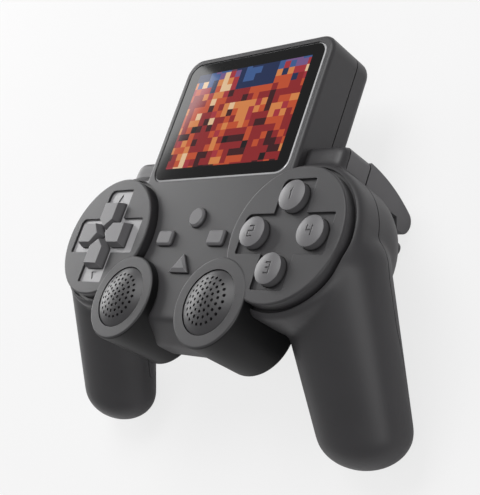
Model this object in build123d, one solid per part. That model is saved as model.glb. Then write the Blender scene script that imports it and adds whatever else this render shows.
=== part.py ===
"""Handheld game console shaped like a two-grip gamepad with a screen block on top.

Everything is drawn in the console's own face frame first: +X to the player's right, +Y towards the top of the
screen, +Z out of the face, with the plane of the screen window at Z = 0. The finished pieces are then laid on
their back: the face frame is tilted about X until the tips of the two grips and the tails of the two triggers
touch the surface that the console rests on, and moved so that the origin lies under the middle of the box.
"""
from build123d import *
from math import asin, atan2, cos, degrees, hypot, pi, radians, sin, sqrt, tan
import os

# Case walls and general clearances
wall = 2.0
fit_gap = 0.2
seat_gap = 0.3
slide_gap = 0.25
overrun = 1.0

# Screen window and the panel behind it
window_width = 75.0
window_height = 54.2
window_bottom = 12.0
window_thickness = 1.6
window_corner_radius = 5.5
window_bevel = 0.5
window_ledge = 3.6
window_ledge_thickness = 1.2
window_ledge_margin = 1.5
screen_width = window_width - 12.4
screen_height = window_height - 10.8
screen_module_width = window_width - 9.0
screen_module_height = window_height - 5.2
screen_glass = 1.2
screen_backlight = 2.0
screen_frame_wall = 0.4

# Screen block, the upper part of the case
block_side_margin = 3.3
block_top_margin = 2.9
block_half_width = window_width / 2 + block_side_margin
block_top = window_bottom + window_height + block_top_margin
block_bottom = -6.0
block_depth = 22.9
block_corner_radius = 7.5
block_front_round = 1.6
block_rear_round = 3.5
case_parting = 14.4

# Thumb lobes: the raised discs that carry the direction keys and the action buttons
lobe_offset = 9.0
lobe_x = block_half_width + lobe_offset
lobe_y = -13.0
lobe_radius = 25.5
lobe_rise = 3.2
lobe_round = 0.8
lobe_groove = 1.2
lobe_groove_depth = 1.8

# Pods: the round body under each lobe
pod_margin = 3.3
pod_radius = lobe_radius + pod_margin
pod_shoulder = 4.5
pod_depth = 30.0
pod_rear_round = 13.0
pod_parting = 10.0
pod_top_drop = 0.2

# Cross-shaped recesses in the lobes
cross_reach = 20.3
cross_half_arm = 7.5
cross_depth = 1.0
cross_corner = 0.8
cross_lit_corner = 2.6
mark_size = 3.4
mark_depth = 0.35

# Speaker collars and their domed grilles
collar_x = lobe_x / 2
collar_y = -38.7
collar_radius = 16.9
collar_rise = 3.5
collar_round = 0.9
collar_depth = 21.0
grille_radius = 12.0
grille_rise = 3.0
grille_wall = 1.2
grille_sink = 0.3
grille_flange = 1.2
grille_hole = 1.15
grille_hole_rings = 5
grille_hole_pitch = 2.15
grille_ring_fill_share = 0.93
speaker_radius = 11.5
speaker_height = 4.2
speaker_magnet_radius = 5.5
speaker_magnet_height = 2.0

# Centre body and its sloping chin between the collars
centre_overlap = 9.8
centre_half_width = lobe_x - centre_overlap
centre_top = 14.0
chin_front = -46.5
chin_rear = -57.0
chin_slope_depth = 16.0
chin_corner = 17.0
centre_depth = 25.0

# Grips: tapered and drooping along a straight axis, and broader across than they are thick
grip_root = (lobe_x + 11.2, lobe_y - 6.4, -11.7)
grip_tip = (lobe_x + 17.4, lobe_y - 50.6, -42.4)
grip_root_radius = 15.5
grip_tip_radius = 12.9
grip_breadth_share = 1.42
grip_parting = ((-8.0, -10.0), (-20.0, -15.5), (-33.0, -24.5), (-49.0, -40.0), (-80.0, -66.0))
chin_parting = ((-8.0, -14.4), (-20.0, -14.4), (-35.0, -15.0), (-50.0, -18.5), (-80.0, -24.0))
parting_blend = (lobe_x - 8.8, lobe_x + 0.2)

# Shoulder housings, keys and triggers above the pods
shoulder_offset = 0.6
shoulder_width = 16.6
shoulder_inner = block_half_width + shoulder_offset
shoulder_outer = shoulder_inner + shoulder_width
shoulder_top = 24.8
shoulder_front = 4.4
shoulder_corner = 3.0
shoulder_key_front = 7.6
shoulder_key_depth = 11.0
shoulder_seam = 0.6
shoulder_floor = 8.5
shoulder_key_wall = 1.4
shoulder_key_travel = 1.2
trigger_low = 13.6
trigger_tail = (13.8, -43.3)
trigger_tail_radius = 4.7
trigger_lip = 2.2
trigger_wall = 1.5
trigger_pin_radius = 1.0
trigger_pin_height = 16.2
trigger_crest_angle = 30.0
bracket_tail = 3.0

# Direction keys: pentagons with their points towards the middle of the cross
pad_outer = 13.2
pad_half_width = 4.1
pad_shoulder = 6.0
pad_point = 2.8
pad_draft = 0.9
pad_top = 6.0

# Action buttons
action_offset = 13.3
action_radius = 5.6
action_top = 5.7
action_crown = 0.6
numeral_height = 3.8
numeral_width = 2.2
numeral_stroke = 0.55
numeral_depth = 0.3

# What all keys share under the case
key_flange = 1.0
key_flange_height = 1.2
key_travel = 1.2
key_gap = 0.15
membrane_gap = 0.05

# Centre keys
reset_y = -4.9
reset_radius = 3.9
menu_x = 14.3
menu_y = -13.2
menu_width = 8.6
menu_height = 6.0
menu_corner = 1.4
volume_y = -23.4
volume_half_width = 5.2
volume_height = 7.2
centre_key_rise = 1.7
centre_key_round = 0.7

# Circuit board and what stands on it
board_top = 7.0
board_thickness = 1.6
board_half_width = 30.0
board_upper = 65.5
board_lower = -29.0
board_lobe_radius = 17.0
board_bridge_top = -4.0
board_bridge_bottom = -22.0
board_post_ys = (2.0, -19.0)
board_screw_radius = 1.0
board_screw_head = 1.9
board_post_radius = 2.2
membrane_sheet = 0.8
membrane_dome_radius = 3.4
pad_dome_offset = 9.0
chip_size = 14.0
chip_height = 1.8
chip_edge = 4.0
memory_chip = (11.0, 8.0, 1.4)
crystal_length = 8.0
crystal_radius = 1.5
capacitor_radius = 2.5
capacitor_height = 3.6
ribbon_width = 20.0
ribbon_thickness = 0.2

# Battery bay at the back of the screen block
battery_width = 53.0
battery_height = 34.0
battery_thickness = 5.5
battery_middle = 37.0
bay_margin = 0.8
bay_wall = 1.2
cover_margin = 3.0
cover_thickness = 1.6
cover_lift = 8.0
contact_width = 2.2

# Ports and the power switch in the top wall
jack_x = 22.0
jack_bore_radius = 1.8
jack_body = 6.0
jack_length = 12.0
jack_nose_radius = 2.7
charge_x = -22.0
charge_width = 8.9
charge_height = 3.2
charge_length = 7.4
charge_shell_wall = 0.3
switch_slot = 8.0
switch_knob = 3.6
switch_knob_height = 2.2
switch_knob_rise = 1.4
switch_travel = 3.0
switch_body = (9.0, 5.0, 3.4)

# Case screws, driven from the back
screw_radius = 1.15
screw_head_radius = 1.8
screw_head_height = 1.6
screw_length = 12.0
screw_sink = 1.2
post_radius = 2.7
block_post_x = block_half_width - 4.8
block_post_ys = (window_bottom + 7.0, block_top - 7.6)
lobe_post = (lobe_x + 21.2, lobe_y + 8.0)
grip_post = (lobe_x + 15.2, lobe_y - 37.0)

# Values that follow from the ones above
window_middle = window_bottom + window_height / 2
board_z = -board_top
board_back = -board_top - board_thickness
trigger_front = shoulder_key_front + shoulder_key_depth + shoulder_seam
trigger_hinge_z = -trigger_front - trigger_wall - 2 * trigger_pin_radius - seat_gap
grip_run = Vector(*grip_tip) - Vector(*grip_root)
grip_slope = atan2(-grip_run.Z, -grip_run.Y)
switch_z = board_back - switch_body[2] / 2
tray_top = -window_thickness - window_ledge_thickness
battery_low = -block_depth + cover_thickness + 2 * fit_gap
bay_top = battery_low + battery_thickness
grille_seat = collar_rise - wall
speaker_top = grille_seat - grille_flange
lobe_under = lobe_rise - cross_depth - wall


def rest_angle():
    """Tilt of the surface that touches the round grip tips and the round tails of the triggers."""
    reach_y = trigger_tail[0] - grip_tip[1]
    reach_z = trigger_tail[1] - grip_tip[2]
    return atan2(reach_z, reach_y) + asin((grip_tip_radius - trigger_tail_radius) / hypot(reach_y, reach_z))


def box_between(low, high):
    """Box from its lowest to its highest corner."""
    size = [b - a for a, b in zip(low, high)]
    middle = [(a + b) / 2 for a, b in zip(low, high)]
    return Pos(*middle) * Box(*size)


def disc(radius, low, high, x=0.0, y=0.0):
    """Cylinder along Z from low to high."""
    return Pos(x, y, (low + high) / 2) * Cylinder(radius, high - low)


def slab(sketch, low, high):
    """Sketch extruded along Z from low to high."""
    return Pos(0, 0, low) * extrude(sketch, high - low)


def mirror_x(shape):
    return mirror(shape, about=Plane.YZ)


def both_sides(shape):
    return shape + mirror_x(shape)


def screen_block(inset):
    """Rounded block that holds the screen; inset gives the space inside its walls."""
    half = block_half_width - inset
    top = block_top - inset
    low = block_bottom
    outline = Pos(0, (top + low) / 2) * Rectangle(2 * half, top - low)
    upper = outline.vertices().group_by(Axis.Y)[-1]
    outline = fillet(upper, block_corner_radius - inset)
    body = slab(outline, -block_depth + inset, -inset)
    if inset:
        return body
    front = body.faces().sort_by(Axis.Z)[-1].edges().filter_by(lambda e: e.center().Y > low + overrun)
    body = fillet(front, block_front_round)
    rear = body.faces().sort_by(Axis.Z)[0].edges().filter_by(lambda e: e.center().Y > low + overrun)
    return fillet(rear, block_rear_round)


def pod(inset):
    """Round body under the right lobe, a turned shape about the lobe's axis."""
    radius = pod_radius - inset
    top = -pod_top_drop - inset
    shoulder = pod_shoulder - inset / 2
    low = -pod_depth + inset
    rear = pod_rear_round - inset
    with BuildPart() as made:
        with BuildSketch(Plane.XZ):
            with BuildLine():
                Line((0, low), (0, top))
                Line((0, top), (radius - shoulder, top))
                CenterArc((radius - shoulder, top - shoulder), shoulder, 0, 90)
                Line((radius, top - shoulder), (radius, low + rear))
                CenterArc((radius - rear, low + rear), rear, -90, 90)
                Line((radius - rear, low), (0, low))
            make_face()
        revolve(axis=Axis.Z)
    return Pos(lobe_x, lobe_y, 0) * made.part


def centre_body(inset):
    """Body between the lobes, with the chin that slopes back between the collars and rounded lower corners."""
    side = centre_half_width - inset
    turn = chin_slope_depth
    low = chin_rear + inset
    outline = Polyline(
        (centre_top, -inset),
        (chin_front + inset, -inset),
        (low, -turn),
        (low, -centre_depth + turn / 4),
        (low + turn / 4, -centre_depth + inset),
        (centre_top, -centre_depth + inset),
        close=True,
    )
    profile = Plane.YZ * make_face(outline)
    body = Pos(-side, 0, 0) * extrude(profile, 2 * side, dir=(1, 0, 0))
    plan = Pos(0, (low + centre_top) / 2) * Rectangle(2 * side, centre_top - low)
    plan = fillet(plan.vertices().group_by(Axis.Y)[0], chin_corner - inset)
    return body & slab(plan, -centre_depth, overrun)


def collar(inset):
    """Right speaker collar, down to the back of the body."""
    body = disc(collar_radius - inset, -collar_depth + inset, collar_rise - inset, collar_x, collar_y)
    if inset:
        return body
    body = fillet(body.edges().sort_by(Axis.Z)[-1], collar_round)
    return fillet(body.edges().sort_by(Axis.Z)[0], 4 * collar_round)


def grip(inset):
    """Right grip: a turned taper with round ends, broadened across its axis."""
    length = grip_run.length
    root = grip_root_radius - inset
    tip = grip_tip_radius - inset
    lean = asin((root - tip) / length)
    with BuildPart() as made:
        with BuildSketch(Plane.XZ):
            with BuildLine():
                CenterArc((0, 0), root, -90, 90 + degrees(lean))
                Line((root * cos(lean), root * sin(lean)), (tip * cos(lean), length + tip * sin(lean)))
                CenterArc((0, length), tip, degrees(lean), 90 - degrees(lean))
                Line((0, length + tip), (0, -root))
            make_face()
        revolve(axis=Axis.Z)
    direction = grip_run.normalized()
    across = (Vector(1, 0, 0) - direction * direction.X).normalized()
    broad = scale(made.part, by=(grip_breadth_share, 1, 1))
    return Plane(origin=grip_root, x_dir=across, z_dir=direction).location * broad


def shoulder_outline(clearance=0.0):
    """Face outline of the right shoulder housing, keys and trigger, rounded at its outer top corner."""
    left = shoulder_inner + clearance
    right = shoulder_outer - clearance
    top = shoulder_top - clearance
    low = shoulder_floor
    outline = Pos((left + right) / 2, (top + low) / 2) * Rectangle(right - left, top - low)
    corner = outline.vertices().sort_by(lambda v: v.X + v.Y)[-1]
    return fillet(corner, shoulder_corner - clearance)


def shoulder_hump():
    """Fixed front part of the right shoulder, ahead of the key, and its link to the screen block."""
    rear = -shoulder_key_front + shoulder_seam / 2
    low_x = block_half_width - 3 * wall
    body = slab(shoulder_outline(), rear, -shoulder_front)
    high_x = shoulder_inner + 2 * wall
    link = box_between((low_x, shoulder_floor, rear), (high_x, shoulder_top, -shoulder_front))
    return body, link


def lobe_disc():
    body = disc(lobe_radius, -2 * lobe_rise, lobe_rise, lobe_x, lobe_y)
    return fillet(body.edges().sort_by(Axis.Z)[-1], lobe_round)


def case_body(inset):
    """The whole outer form of the case, or the hollow inside it."""
    halves = [pod(inset), grip(inset), collar(inset)]
    if inset:
        top = lobe_rise - cross_depth - inset
        halves.append(disc(lobe_radius - inset, -2 * lobe_rise, top, lobe_x, lobe_y))
    else:
        halves += [lobe_disc(), *shoulder_hump()]
    return screen_block(inset) + [centre_body(inset), *halves, *(mirror_x(half) for half in halves)]


def front_side():
    """Tool that holds everything on the face's side of the parting surface."""
    far = 2 * block_top
    ceiling = block_depth

    def section(x, points):
        path = [(far, ceiling), (far, points[0][1]), *points, (-far, points[-1][1] - far / 4), (-far, ceiling)]
        return Plane.YZ.offset(x) * make_face(Polyline(*path, close=True))

    xs = (-far, -parting_blend[1], -parting_blend[0], parting_blend[0], parting_blend[1], far)
    profiles = (grip_parting, grip_parting, chin_parting, chin_parting, grip_parting, grip_parting)
    return loft([section(x, points) for x, points in zip(xs, profiles)], ruled=True)


def cross_sketch(clearance=0.0):
    """Cross-shaped recess about the origin; the two corners that catch the light are the rounder ones."""
    reach = cross_reach - clearance
    half = cross_half_arm - clearance
    upright = Rectangle(2 * half, 2 * reach)
    level = Rectangle(2 * reach, 2 * half)

    def rounded(arm):
        lit = arm.vertices().sort_by(lambda v: v.Y - v.X)[-1]
        rest = [v for v in arm.vertices() if (v.center() - lit.center()).length > half]
        arm = fillet(rest, cross_corner)
        lit = arm.vertices().sort_by(lambda v: v.Y - v.X)[-1]
        return fillet(lit, cross_lit_corner)

    return rounded(upright) + rounded(level)


def pentagon(grow):
    """Direction key outline pointing down at the middle of the cross, grown on every side."""
    half = pad_half_width + grow
    corner = pad_shoulder - grow * tan(pi / 8)
    return make_face(
        Polyline(
            (-half, pad_outer + grow),
            (half, pad_outer + grow),
            (half, corner),
            (0, pad_point - grow * sqrt(2)),
            (-half, corner),
            close=True,
        )
    )


def triangle(grow=0.0):
    """Volume key outline, point up, about its own place."""
    half = volume_half_width + grow * sqrt(2)
    low = -volume_height / 2 - grow
    high = volume_height / 2 + grow * sqrt(2)
    return Pos(0, volume_y) * make_face(Polyline((-half, low), (half, low), (0, high), close=True))


def menu_outline(side, grow=0.0):
    width = menu_width + 2 * grow
    height = menu_height + 2 * grow
    return Pos(side * menu_x, menu_y) * RectangleRounded(width, height, menu_corner + grow)


def reset_outline(grow=0.0):
    return Pos(0, reset_y) * Circle(reset_radius + grow)


centre_outlines = {
    "key_reset": reset_outline,
    "key_select": lambda grow: menu_outline(-1, grow),
    "key_start": lambda grow: menu_outline(1, grow),
    "key_volume": triangle,
}
pad_turns = {"pad_up": 0, "pad_left": 90, "pad_down": 180, "pad_right": 270}
action_turns = {"button_north": 0, "button_west": 90, "button_south": 180, "button_east": 270}


def engraved_mark(turn):
    """Small triangle sunk in the recess floor beyond a direction key, pointing outward."""
    half = mark_size / 2
    middle = (pad_outer + pad_draft + cross_reach) / 2
    outline = Polyline((-half, middle - half), (half, middle - half), (0, middle + half), close=True)
    mark = slab(make_face(outline), lobe_rise - cross_depth - mark_depth, lobe_rise)
    return Pos(-lobe_x, lobe_y, 0) * Rot(0, 0, turn) * mark


def grip_depth(y):
    """Depth of the grip's axis at a place along Y, and its half thickness measured along Z."""
    share = (y - grip_root[1]) / grip_run.Y
    half = grip_root_radius + (grip_tip_radius - grip_root_radius) * share
    return grip_root[2] + grip_run.Z * share, half / cos(grip_slope)


def pod_depth_at(x, y):
    """Depth of a pod's rounded rear at a place."""
    past = max(0.0, hypot(abs(x) - lobe_x, y - lobe_y) - (pod_radius - pod_rear_round))
    return -pod_depth + pod_rear_round - sqrt(pod_rear_round**2 - past**2)


def screw_places():
    """Every case screw as (x, y, seat of its head, foot of its posts, parting depth, top of its posts)."""
    places = []
    sunk = screw_sink + screw_head_height
    grip_axis, grip_half = grip_depth(grip_post[1])
    for side in (-1, 1):
        for y in block_post_ys:
            foot = -block_depth + wall / 2
            places.append((side * block_post_x, y, -block_depth + sunk, foot, -case_parting, -wall / 2))
        x, y = lobe_post
        low = pod_depth_at(x, y)
        top = -pod_top_drop - wall
        places.append((side * x, y, low + sunk, low + screw_sink + wall / 2, -pod_parting, top))
        x, y = grip_post
        low = grip_axis - grip_half
        top = grip_axis + grip_half - wall
        places.append((side * x, y, low + sunk, low + screw_sink + wall / 2, grip_parting_at(y), top))
    return places


def grip_parting_at(y):
    """Depth of the parting surface along a grip."""
    for (y1, z1), (y2, z2) in zip(grip_parting, grip_parting[1:]):
        if y2 <= y <= y1:
            return z1 + (z2 - z1) * (y - y1) / (y2 - y1)
    return -case_parting


def shoulder_notch(grow=0.0):
    """Room in the right shoulder for the key, the trigger and their bracket; grown, the walls around it."""
    low = (shoulder_inner - shoulder_seam / 2 - grow, shoulder_floor - wall - grow, -pod_depth - overrun)
    high = (
        shoulder_outer + shoulder_seam / 2 + grow,
        shoulder_top + overrun,
        -shoulder_key_front + shoulder_seam / 2 + grow,
    )
    return box_between(low, high)


def case_parts():
    """Front case and rear case."""
    notches = [shoulder_notch(), mirror_x(shoulder_notch())]
    cells = [shoulder_notch(wall), mirror_x(shoulder_notch(wall))]
    shell = case_body(0.0) - (case_body(wall) - cells) - notches
    tool = front_side()
    places = screw_places()
    front = (shell & tool) + [disc(post_radius, parting, top, x, y) for x, y, _, _, parting, top in places]
    rear = (shell - tool) + [disc(post_radius, foot, parting, x, y) for x, y, _, foot, parting, _ in places]
    bores = []
    pockets = []
    for x, y, seat, *_ in places:
        bores.append(disc(screw_radius + fit_gap / 4, seat - overrun, seat + screw_length + overrun / 2, x, y))
        pockets.append(disc(screw_radius + fit_gap, seat - overrun, seat + screw_length, x, y))
        pockets.append(disc(screw_head_radius + fit_gap, seat - 4 * wall, seat, x, y))
    return finish_front(front - bores), finish_rear(rear - pockets)


def finish_front(front):
    """Adds the window's ledge and cuts the face: window, grooves, recesses, key holes, grilles and ports."""
    ledge = Pos(0, window_middle) * RectangleRounded(
        window_width + 2 * window_ledge_margin, window_height + 2 * window_ledge_margin, window_corner_radius
    )
    front = front + slab(ledge, tray_top, -wall / 2)
    recess = Pos(0, window_middle) * RectangleRounded(
        window_width + 2 * fit_gap, window_height + 2 * fit_gap, window_corner_radius + fit_gap
    )
    open_width = window_width - 2 * window_ledge
    open_height = window_height - 2 * window_ledge
    aperture = Pos(0, window_middle) * Rectangle(open_width, open_height)
    cuts = [slab(recess, -window_thickness, overrun), slab(aperture, tray_top - overrun, overrun)]
    groove = disc(lobe_radius + lobe_groove, -lobe_groove_depth, overrun, lobe_x, lobe_y) - [
        disc(lobe_radius, -lobe_groove_depth - overrun, 2 * overrun, lobe_x, lobe_y),
        disc(collar_radius, -2 * overrun, 2 * overrun, collar_x, collar_y),
    ]
    cuts += [groove, mirror_x(groove)]
    cross = slab(cross_sketch(), lobe_rise - cross_depth, lobe_rise + overrun)
    for side in (-1, 1):
        cuts.append(Pos(side * lobe_x, lobe_y, 0) * cross)
        cuts.append(disc(grille_radius + fit_gap, -2 * wall, collar_rise + overrun, side * collar_x, collar_y))
    for turn in pad_turns.values():
        hole = slab(pentagon(pad_draft + key_gap), lobe_under - overrun, lobe_rise)
        cuts.append(Pos(-lobe_x, lobe_y, 0) * Rot(0, 0, turn) * hole)
    cuts += [engraved_mark(turn) for turn in (0, 180)]
    for turn in action_turns.values():
        hole = disc(action_radius + key_gap, lobe_under - overrun, lobe_rise, 0, action_offset)
        cuts.append(Pos(lobe_x, lobe_y, 0) * Rot(0, 0, turn) * hole)
    cuts += [slab(outline(key_gap), -2 * wall, overrun) for outline in centre_outlines.values()]
    return front - cuts - port_cuts()


def port_cuts():
    """Holes in the top wall for the audio jack, the charging socket and the power switch."""
    length = 3 * wall
    middle = block_top - wall / 2
    jack = Cylinder(jack_nose_radius + fit_gap, length)
    charge = Box(charge_width + 2 * fit_gap, length, charge_height + 2 * fit_gap)
    slot = Box(switch_slot, length, switch_knob_height + 2 * fit_gap)
    return [
        Pos(jack_x, middle, board_back - jack_body / 2) * Rot(90, 0, 0) * jack,
        Pos(charge_x, middle, board_back - charge_height / 2) * charge,
        Pos(0, middle, switch_z) * slot,
    ]


def bay_box(grow, low, high):
    """Box about the battery, grown on its sides."""
    half = battery_width / 2 + bay_margin + grow
    tall = battery_height / 2 + bay_margin + grow
    return box_between((-half, battery_middle - tall, low), (half, battery_middle + tall, high))


def finish_rear(rear):
    """Adds the battery bay, cuts its opening, the cover's rebate, and the ports' lower edges."""
    rebate = cover_outline(fit_gap, -block_depth - overrun, -block_depth + cover_thickness + fit_gap)
    rim = cover_outline(wall, -block_depth + wall / 2, -block_depth + cover_thickness + fit_gap + wall / 2)
    rear = rear + [rim, bay_box(bay_wall, -block_depth + wall, bay_top + bay_wall)]
    return rear - [rebate, bay_box(0.0, -block_depth - overrun, bay_top)] - port_cuts()


def cover_outline(grow, low, high):
    half = battery_width / 2 + cover_margin + grow
    tall = battery_height / 2 + cover_margin + grow
    sketch = Pos(0, battery_middle) * RectangleRounded(2 * half, 2 * tall, cover_margin)
    return slab(sketch, low, high)


def screen_parts():
    """Window, display panel, its metal tray and the ribbon to the board."""
    outline = Pos(0, window_middle) * RectangleRounded(window_width, window_height, window_corner_radius)
    window = slab(outline, -window_thickness, 0.0)
    window = chamfer(window.faces().sort_by(Axis.Z)[-1].edges(), window_bevel)
    half_w = screen_module_width / 2
    half_h = screen_module_height / 2
    inner_w = half_w - screen_frame_wall
    inner_h = half_h - screen_frame_wall
    panel_top = tray_top - screen_frame_wall
    panel_low = panel_top - screen_glass - screen_backlight
    panel = box_between(
        (-inner_w + fit_gap / 4, window_middle - inner_h + fit_gap / 4, panel_low),
        (inner_w - fit_gap / 4, window_middle + inner_h - fit_gap / 4, panel_top),
    )
    tray = box_between(
        (-half_w, window_middle - half_h, panel_low - screen_frame_wall),
        (half_w, window_middle + half_h, tray_top),
    )
    room = box_between(
        (-inner_w, window_middle - inner_h, panel_low),
        (inner_w, window_middle + inner_h, panel_top),
    )
    opening = Pos(0, window_middle, tray_top) * Box(screen_width, screen_height, 4 * screen_frame_wall)
    edge = window_middle - half_h
    slot = Pos(0, edge, panel_low + 2 * ribbon_thickness) * Box(
        ribbon_width + 2 * fit_gap, 4 * screen_frame_wall, 4 * ribbon_thickness
    )
    tray = tray - [room, opening, slot]
    half = ribbon_width / 2
    bend = edge - 4 * ribbon_thickness
    level = panel_low + 2 * ribbon_thickness
    start = box_between(
        (-half, bend, level - ribbon_thickness), (half, edge + screen_frame_wall + fit_gap / 4, level)
    )
    drop = box_between((-half, bend - ribbon_thickness, board_z), (half, bend, level))
    foot = box_between((-half, bend - screen_frame_wall * 6, board_z), (half, bend, board_z + ribbon_thickness))
    return {
        "screen_window": window,
        "screen_panel": panel,
        "screen_tray": tray,
        "screen_ribbon": start + [drop, foot],
    }


def pad_key():
    """One direction key: a drafted pentagon with a flange under the case."""
    top = loft([
        Pos(0, 0, lobe_under - key_gap) * pentagon(pad_draft),
        Pos(0, 0, lobe_rise) * pentagon(pad_draft),
        Pos(0, 0, pad_top) * pentagon(0.0),
    ], ruled=True)
    seat = lobe_under - key_gap
    flange = slab(pentagon(pad_draft + key_flange / 2), seat - key_flange_height, seat)
    return top + (flange & slab(pad_sector(), -block_depth, block_depth))


def pad_sector():
    """Quarter of the plane that keeps neighbouring flanges apart."""
    reach = 2 * cross_reach
    gap = 2 * key_gap
    return make_face(Polyline((0, gap), (reach, reach + gap), (-reach, reach + gap), close=True))


def numeral(value):
    """Plain engraved numeral from one to four, a generic mark drawn with straight strokes."""
    w = numeral_width / 2
    h = numeral_height / 2
    strokes = {
        1: [((-w / 2, h / 2), (0, h), (0, -h))],
        2: [((-w, h), (w, h), (w, 0), (-w, 0), (-w, -h), (w, -h))],
        3: [((-w, h), (w, h), (w, -h), (-w, -h)), ((-w / 2, 0), (w, 0))],
        4: [((-w, h), (-w, 0), (w, 0)), ((w, h), (w, -h))],
    }
    lines = [trace(Polyline(*points), line_width=numeral_stroke) for points in strokes[value]]
    return lines[0] + lines[1:]


def action_button(value, turn):
    """One action button with a low crown, a flange under the case and a sunk numeral."""
    edge = action_top - action_crown
    body = disc(action_radius, lobe_under - key_gap, edge)
    crown_radius = (action_radius**2 + action_crown**2) / (2 * action_crown)
    ball = Pos(0, 0, action_top - crown_radius) * Sphere(crown_radius)
    body = body + (ball & disc(action_radius, edge, action_top + overrun))
    body = body + disc(
        action_radius + key_flange, lobe_under - key_gap - key_flange_height, lobe_under - key_gap
    )
    mark = slab(numeral(value), edge - numeral_depth, action_top + overrun)
    shell = Pos(0, 0, action_top - crown_radius) * Sphere(crown_radius - numeral_depth)
    mark = (Rot(0, 0, -turn) * mark) - shell
    return body - mark


def centre_key(outline, pyramid=False):
    """Small key in the centre panel: a drafted top, a flange behind the panel."""
    under = -wall - key_gap
    sides = slab(outline(0.0), under, centre_key_rise - centre_key_round)
    crown = loft([
        Pos(0, 0, centre_key_rise - centre_key_round) * outline(0.0),
        Pos(0, 0, centre_key_rise) * outline(-centre_key_round * (2 if pyramid else 1)),
    ], ruled=True)
    flange = slab(outline(key_flange), under - key_flange_height, under)
    return sides + crown + flange


def membranes():
    """Silicone sheets with a dome under each key, standing on the board."""
    lobe_flange = lobe_under - key_gap - key_flange_height
    centre_flange = -wall - key_gap - key_flange_height
    sheet_radius = board_lobe_radius - fit_gap

    def sheet_with(domes, base, top):
        body = base
        for x, y in domes:
            dome = Pos(x, y, 0) * Cone(
                membrane_dome_radius, membrane_dome_radius - overrun, top - board_z - membrane_sheet,
                align=(Align.CENTER, Align.CENTER, Align.MIN),
            )
            body = body + Pos(0, 0, board_z + membrane_sheet) * dome
        return body

    def around(reach):
        return [(0, reach), (-reach, 0), (0, -reach), (reach, 0)]

    lobe_sheet = disc(sheet_radius, board_z, board_z + membrane_sheet)
    pad = sheet_with(around(pad_dome_offset), lobe_sheet, lobe_flange - membrane_gap)
    act = sheet_with(around(action_offset), lobe_sheet, lobe_flange - membrane_gap)
    low = volume_y - volume_height / 2 - overrun
    strip = box_between(
        (-menu_x - menu_width / 2, low, board_z),
        (menu_x + menu_width / 2, reset_y + reset_radius, board_z + membrane_sheet),
    )
    spots = [(0, reset_y), (-menu_x, menu_y), (menu_x, menu_y), (0, volume_y)]
    menu = strip
    for x, y in spots:
        menu = menu + disc(membrane_dome_radius / 2, board_z, centre_flange - membrane_gap, x, y)
    return {
        "pad_membrane": Pos(-lobe_x, lobe_y, 0) * pad,
        "action_membrane": Pos(lobe_x, lobe_y, 0) * act,
        "menu_membrane": menu,
    }


def hole_rings():
    """Places of the grille holes: rings about the middle, each with as many holes as the pitch allows."""
    places = [(0.0, 0.0)]
    for ring in range(1, grille_hole_rings):
        radius = ring * grille_hole_pitch
        count = round(2 * pi * ring * grille_ring_fill_share)
        for i in range(count):
            angle = 2 * pi * (i + ring / 2) / count
            places.append((radius * cos(angle), radius * sin(angle)))
    return places


def grille():
    """Domed speaker grille with its holes and a flange under the collar."""
    radius = (grille_radius**2 + grille_rise**2) / (2 * grille_rise)
    rim = collar_rise - grille_sink
    centre = rim + grille_rise - radius
    cap = (Pos(0, 0, centre) * Sphere(radius)) & disc(grille_radius, rim, rim + 2 * grille_rise)
    skirt = disc(grille_radius, grille_seat - grille_flange, rim)
    flange = disc(grille_radius + grille_flange, speaker_top, grille_seat)
    room = grille_radius - grille_wall
    hollow = [
        (Pos(0, 0, centre) * Sphere(radius - grille_wall)) & disc(room, speaker_top, collar_rise * 2),
        disc(room, speaker_top - overrun, rim - grille_wall / 2),
    ]
    holes = [disc(grille_hole / 2, rim - wall, rim + 2 * grille_rise, x, y) for x, y in hole_rings()]
    return cap + [skirt, flange] - hollow - holes


def speaker():
    """Small round loudspeaker: basket and magnet, its rim under the grille's flange."""
    middle = speaker_top - speaker_height + speaker_magnet_height
    basket = disc(speaker_radius, middle, speaker_top)
    return basket + disc(speaker_magnet_radius, middle - speaker_magnet_height, middle)


def speaker_ring():
    """Ring in the collar around the speaker, seated against the grille's flange."""
    outer = disc(collar_radius - wall - fit_gap / 2, speaker_top - speaker_magnet_height, speaker_top)
    return outer - disc(speaker_radius + fit_gap / 4, speaker_top - 2 * speaker_height, speaker_top + overrun)


def board():
    """T-shaped circuit board through block, centre and lobes."""
    half = board_half_width
    column = box_between((-half, board_lower, board_back), (half, board_upper, board_z))
    bridge = box_between((-lobe_x, board_bridge_bottom, board_back), (lobe_x, board_bridge_top, board_z))
    lobes = both_sides(disc(board_lobe_radius, board_back, board_z, lobe_x, lobe_y))
    body = column + bridge + lobes
    for x, y in board_posts():
        body = body - disc(board_screw_radius + fit_gap, board_back - overrun, board_z + overrun, x, y)
    return body


def board_posts():
    """Places of the screws that hold the board to posts behind the centre panel."""
    side = board_half_width - board_post_radius - overrun
    return [(x, y) for x in (-side, side) for y in board_post_ys]


def board_fasteners():
    """Screws that hold the board to its posts."""
    screws = []
    for x, y in board_posts():
        screws.append(disc(board_screw_radius, board_back, board_z + wall, x, y))
        screws.append(disc(board_screw_head, board_back - overrun, board_back, x, y))
    return screws[0] + screws[1:]


def board_post_set():
    """Posts behind the face that the board is screwed to."""
    posts = [disc(board_post_radius, board_z, -wall / 2, x, y) for x, y in board_posts()]
    bores = [disc(board_screw_radius + fit_gap / 4, board_z - overrun, -wall, x, y) for x, y in board_posts()]
    return posts, bores


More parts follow.
